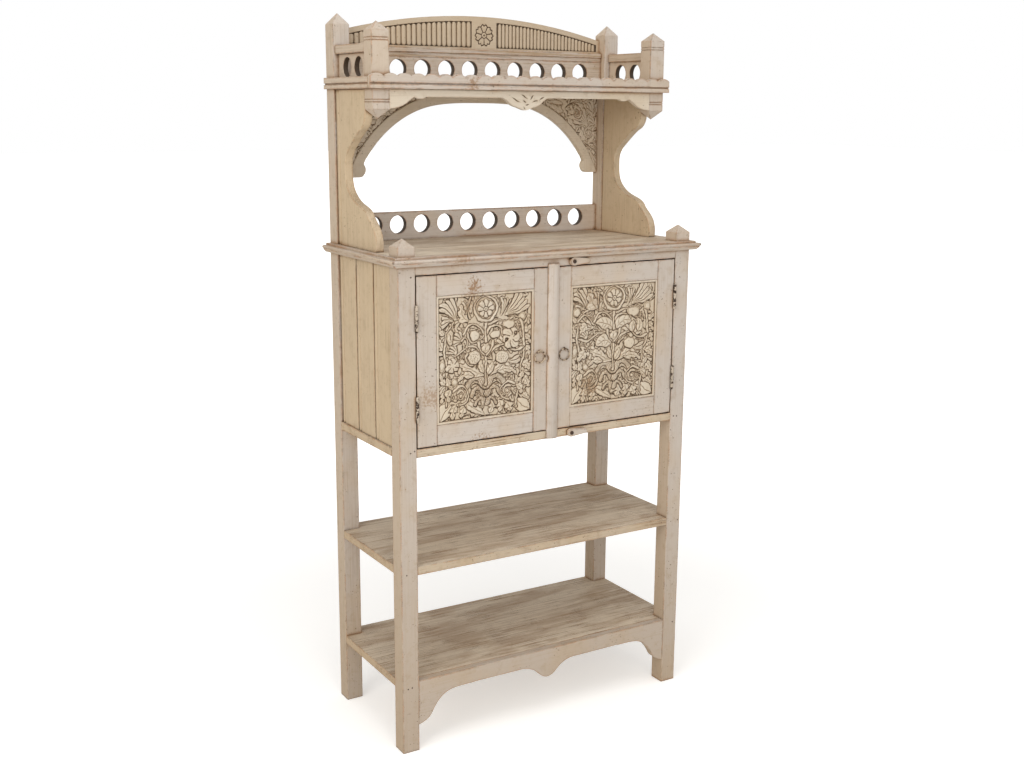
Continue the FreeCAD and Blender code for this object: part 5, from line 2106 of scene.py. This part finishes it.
@dataclass
class Hardware:
    """Hinges, ring pulls and their eyes, turn buttons, screws and nail heads."""

    ring_sides: int = 72
    wire_sides: int = 14
    wire_radius: float = 1.7
    ring_seeds: dict[str, int] = field(default_factory=lambda: {"left": 5, "right": 9})
    # Radius and setback of each ring of a nail head, from its crown
    nail_profile: tuple[Point, ...] = ((0, 0), (0.9, 0.08), (1.5, 0.25), (1.85, 0.55), (1.8, 1.1))
    nail_sides: int = 20

    def build(self, shop: Workshop) -> None:
        """Makes the metal pieces and the wooden turn buttons.

        Args:
            shop: Workshop that finishes the pieces.
        """
        for node, body in (("hinge_frame_leaves", "root"), ("hinge_pins", "root"),
                           ("left_hinge_door_leaves", "left_door"),
                           ("right_hinge_door_leaves", "right_door")):
            shop.soften(node, body, Slot.HINGE, 0.25)
        for side in ("left", "right"):
            shop.soften(f"{side}_ring_eye", f"{side}_door", Slot.RING, 0.1)
            self.ring(shop, side)
        shop.soften("top_turn_button", "top_button", Slot.CREAM, 1.4)
        shop.soften("bottom_turn_button", "bottom_button", Slot.CREAM, 1.4)
        shop.soften("turn_button_screws", "root", Slot.NAIL, 0.3)
        self.nails(shop)

    def ring(self, shop: Workshop, side: str) -> None:
        """Hand-forged ring, a little uneven round its wire.

        Args:
            shop: Workshop that finishes the pieces.
            side: Side of the ring.
        """
        node = f"{side}_ring_pull"
        low, high = box_of(node)
        centre = (low + high) / 2
        mean = (high[2] - low[2]) / 2 - self.wire_radius
        random = np.random.default_rng(self.ring_seeds[side])
        waves = [(k, random.uniform(0, 2 * math.pi), random.uniform(0.02, 0.05))
                 for k in range(2, 9)]
        places, faces = [], []
        for i in range(self.ring_sides):
            turn = 2 * math.pi * i / self.ring_sides
            uneven = sum(a * math.sin(k * turn + p) for k, p, a in waves)
            wire = self.wire_radius * (0.93 + uneven * 0.4)
            for j in range(self.wire_sides):
                angle = 2 * math.pi * j / self.wire_sides
                radius = mean + wire * math.cos(angle)
                places.append((centre[0] + radius * math.cos(turn), centre[1] + wire * math.sin(angle),
                               centre[2] + radius * math.sin(turn)))
        for i in range(self.ring_sides):
            for j in range(self.wire_sides):
                a, b = i * self.wire_sides, ((i + 1) % self.ring_sides) * self.wire_sides
                k = (j + 1) % self.wire_sides
                faces.append((a + j, b + j, b + k, a + k))
        mesh = mesh_of(node, places, faces)
        shade_smooth(mesh)
        shop.hand_over(show(f"{node}_forged", mesh), f"{side}_ring", Slot.RING, node)

    def nails(self, shop: Workshop) -> None:
        """Domed nail heads at the places of the CAD ones.

        Args:
            shop: Workshop that finishes the pieces.
        """
        mesh = node_mesh("nail_heads")
        places = vertices_of(mesh)
        label = islands(mesh)
        centres = []
        for part in np.unique(label):
            points = places[label == part]
            centre = (points.min(0) + points.max(0)) / 2
            centre[1] = points[:, 1].min()
            centres.append(centre)
        head = show("nail_head", turned("nail_head", self.nail_profile, (0, 0, 0), self.nail_sides))
        spots = bpy.data.meshes.new("nail_spots")
        spots.from_pydata([tuple(centre) for centre in centres], [], [])
        made = show("nail_heads_domed", spots)
        scatter_group().apply(made, {
            "Form": head, "Seed": 3, "Size spread": 0.12, "Turn": 2 * math.pi,
            "Material": shop.finish(Slot.NAIL)})
        bpy.data.objects.remove(head)
        shop.hand_over(made, "root", Slot.NAIL, "nail_heads")


# Studio


@dataclass
class Studio:
    """Camera at the photo's place, pale floor and soft light."""

    place: tuple[float, float, float] = (-1582.1, -2603.1, 1479.2)
    yaw: float = 31.193
    pitch: float = 12.314
    roll: float = 0.39
    lens: float = 44.135
    sensor: float = 36.0
    floor: str = "#f6f4f0"
    floor_half: float = 40.0
    sky: str = "#ffffff"
    sky_strength: float = 0.5
    floor_lift: float = 0.36
    floor_fade: tuple[float, float] = (900.0, 2600.0)

    def build(self) -> None:
        """Sets up the camera, floor, lights, world and render look."""
        self.camera()
        self.ground()
        self.light("key", (-1.0, -4.0, 1.9), (0.0, 0.0, 0.9), 2.4, 44.0)
        self.light("side", (-3.4, -1.8, 2.2), (0.0, 0.0, 0.9), 2.4, 57.0)
        self.light("overhead", (-0.3, -1.2, 4.3), (0.0, 0.0, 0.9), 2.6, 40.0)
        world = bpy.data.worlds.new("soft_studio")
        world.use_nodes = True
        world.node_tree.nodes.clear()
        tree = world.node_tree
        seen = self.seen(tree)
        backdrop = add_node(tree, "ShaderNodeBackground", None,
                            {"Color": linear(self.sky), "Strength": 1.0})
        glow = add_node(tree, "ShaderNodeBackground", None,
                        {"Color": linear(self.sky), "Strength": self.sky_strength})
        chosen = add_node(tree, "ShaderNodeMixShader", None,
                          {0: seen, 1: glow.outputs[0], 2: backdrop.outputs[0]})
        add_node(tree, "ShaderNodeOutputWorld", None, {"Surface": chosen.outputs[0]})
        scene = bpy.context.scene
        scene.world = world
        scene.view_settings.view_transform = "Standard"

    def seen(self, tree: bpy.types.NodeTree) -> bpy.types.NodeSocket:
        """One for rays of the camera, a reflection or glass, zero for those that light.

        Args:
            tree: Node tree of a material or the world.

        Returns:
            The value's socket.
        """
        path = add_node(tree, "ShaderNodeLightPath")
        first = add_node(tree, "ShaderNodeMath", {"operation": "MAXIMUM"},
                         {0: path.outputs["Is Camera Ray"], 1: path.outputs["Is Glossy Ray"]})
        return add_node(tree, "ShaderNodeMath", {"operation": "MAXIMUM"},
                        {0: first.outputs[0], 1: path.outputs["Is Transmission Ray"]}).outputs[0]

    def camera(self) -> None:
        """Camera at the photo's angle."""
        yaw, pitch, roll = (math.radians(a) for a in (self.yaw, self.pitch, self.roll))
        level = math.cos(pitch)
        forward = Vector((math.sin(yaw) * level, math.cos(yaw) * level, -math.sin(pitch)))
        right = Vector((math.cos(yaw), -math.sin(yaw), 0.0))
        up = right.cross(forward)
        turned_right = right * math.cos(roll) + up * math.sin(roll)
        turned_up = up * math.cos(roll) - right * math.sin(roll)
        axes = Matrix((turned_right, turned_up, -forward)).transposed()
        data = bpy.data.cameras.new("camera")
        data.lens, data.sensor_width = self.lens, self.sensor
        data.clip_start, data.clip_end = 0.05, 100.0
        made = bpy.data.objects.new("camera", data)
        made.matrix_world = Matrix.Translation(Vector(self.place) * MM) @ axes.to_4x4()
        bpy.context.scene.collection.objects.link(made)
        bpy.context.scene.camera = made

    def ground(self) -> None:
        """Pale floor."""
        mesh = bpy.data.meshes.new("floor")
        with editing(mesh) as edit:
            bmesh.ops.create_grid(edit, x_segments=1, y_segments=1, size=self.floor_half)
        made = show("floor", mesh)
        shader = Shader("pale_studio_floor")
        surface = shader.node("ShaderNodeBsdfPrincipled", None, {
            "Base Color": linear(self.floor), "Roughness": 0.9, "Specular IOR Level": 0.1})
        camera = shader.node("ShaderNodeLightPath").outputs["Is Camera Ray"]
        far = shader.band(shader.vector("LENGTH", shader.position), *self.floor_fade, 0.5)
        strength = shader.times(camera, shader.plus(far, self.floor_lift))
        lift = shader.node("ShaderNodeEmission", None, {"Color": linear(self.sky), "Strength": strength})
        lifted = shader.node("ShaderNodeAddShader", None, {0: surface.outputs[0], 1: lift.outputs[0]})
        shader.node("ShaderNodeOutputMaterial", None, {"Surface": lifted.outputs[0]})
        mesh.materials.append(shader.material)

    def light(self, name: str, place: Sequence[float], target: Sequence[float], size: float,
              watts: float) -> None:
        """Square soft light, in metres.

        Args:
            name: Name of the lamp.
            place: Where it stands.
            target: Where it points.
            size: Length of its side.
            watts: Its power.
        """
        data = bpy.data.lights.new(name, "AREA")
        data.shape, data.size, data.energy = "SQUARE", size, watts
        made = bpy.data.objects.new(name, data)
        made.location = place
        made.rotation_mode = "QUATERNION"
        made.rotation_quaternion = (Vector(target) - Vector(place)).to_track_quat("-Z", "Y")
        bpy.context.scene.collection.objects.link(made)


def corners(found: tuple[Any, Any]) -> dict[str, list[float]]:
    """Bounds as plain numbers in metres."""
    return {"low": [round(v, 6) for v in found[0]], "high": [round(v, 6) for v in found[1]]}


def main() -> None:
    """Builds the cabinet and the studio."""
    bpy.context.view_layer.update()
    shop = Workshop()
    assemblies = [Carcass(), CarvedDoor("left"), CarvedDoor("right"), ArchBoard(), CrestBoard(),
                  UpperApron(), Hardware()]
    for assembly in assemblies:
        assembly.build(shop)
        log.info("built %s", type(assembly).__name__)
    Studio().build()
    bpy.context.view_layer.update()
    faces = sum(len(o.data.polygons) for o in bpy.context.scene.objects if o.type == "MESH")
    log.info("pieces %d, faces %d", shop.made, faces)


if __name__ == "__main__":
    main()
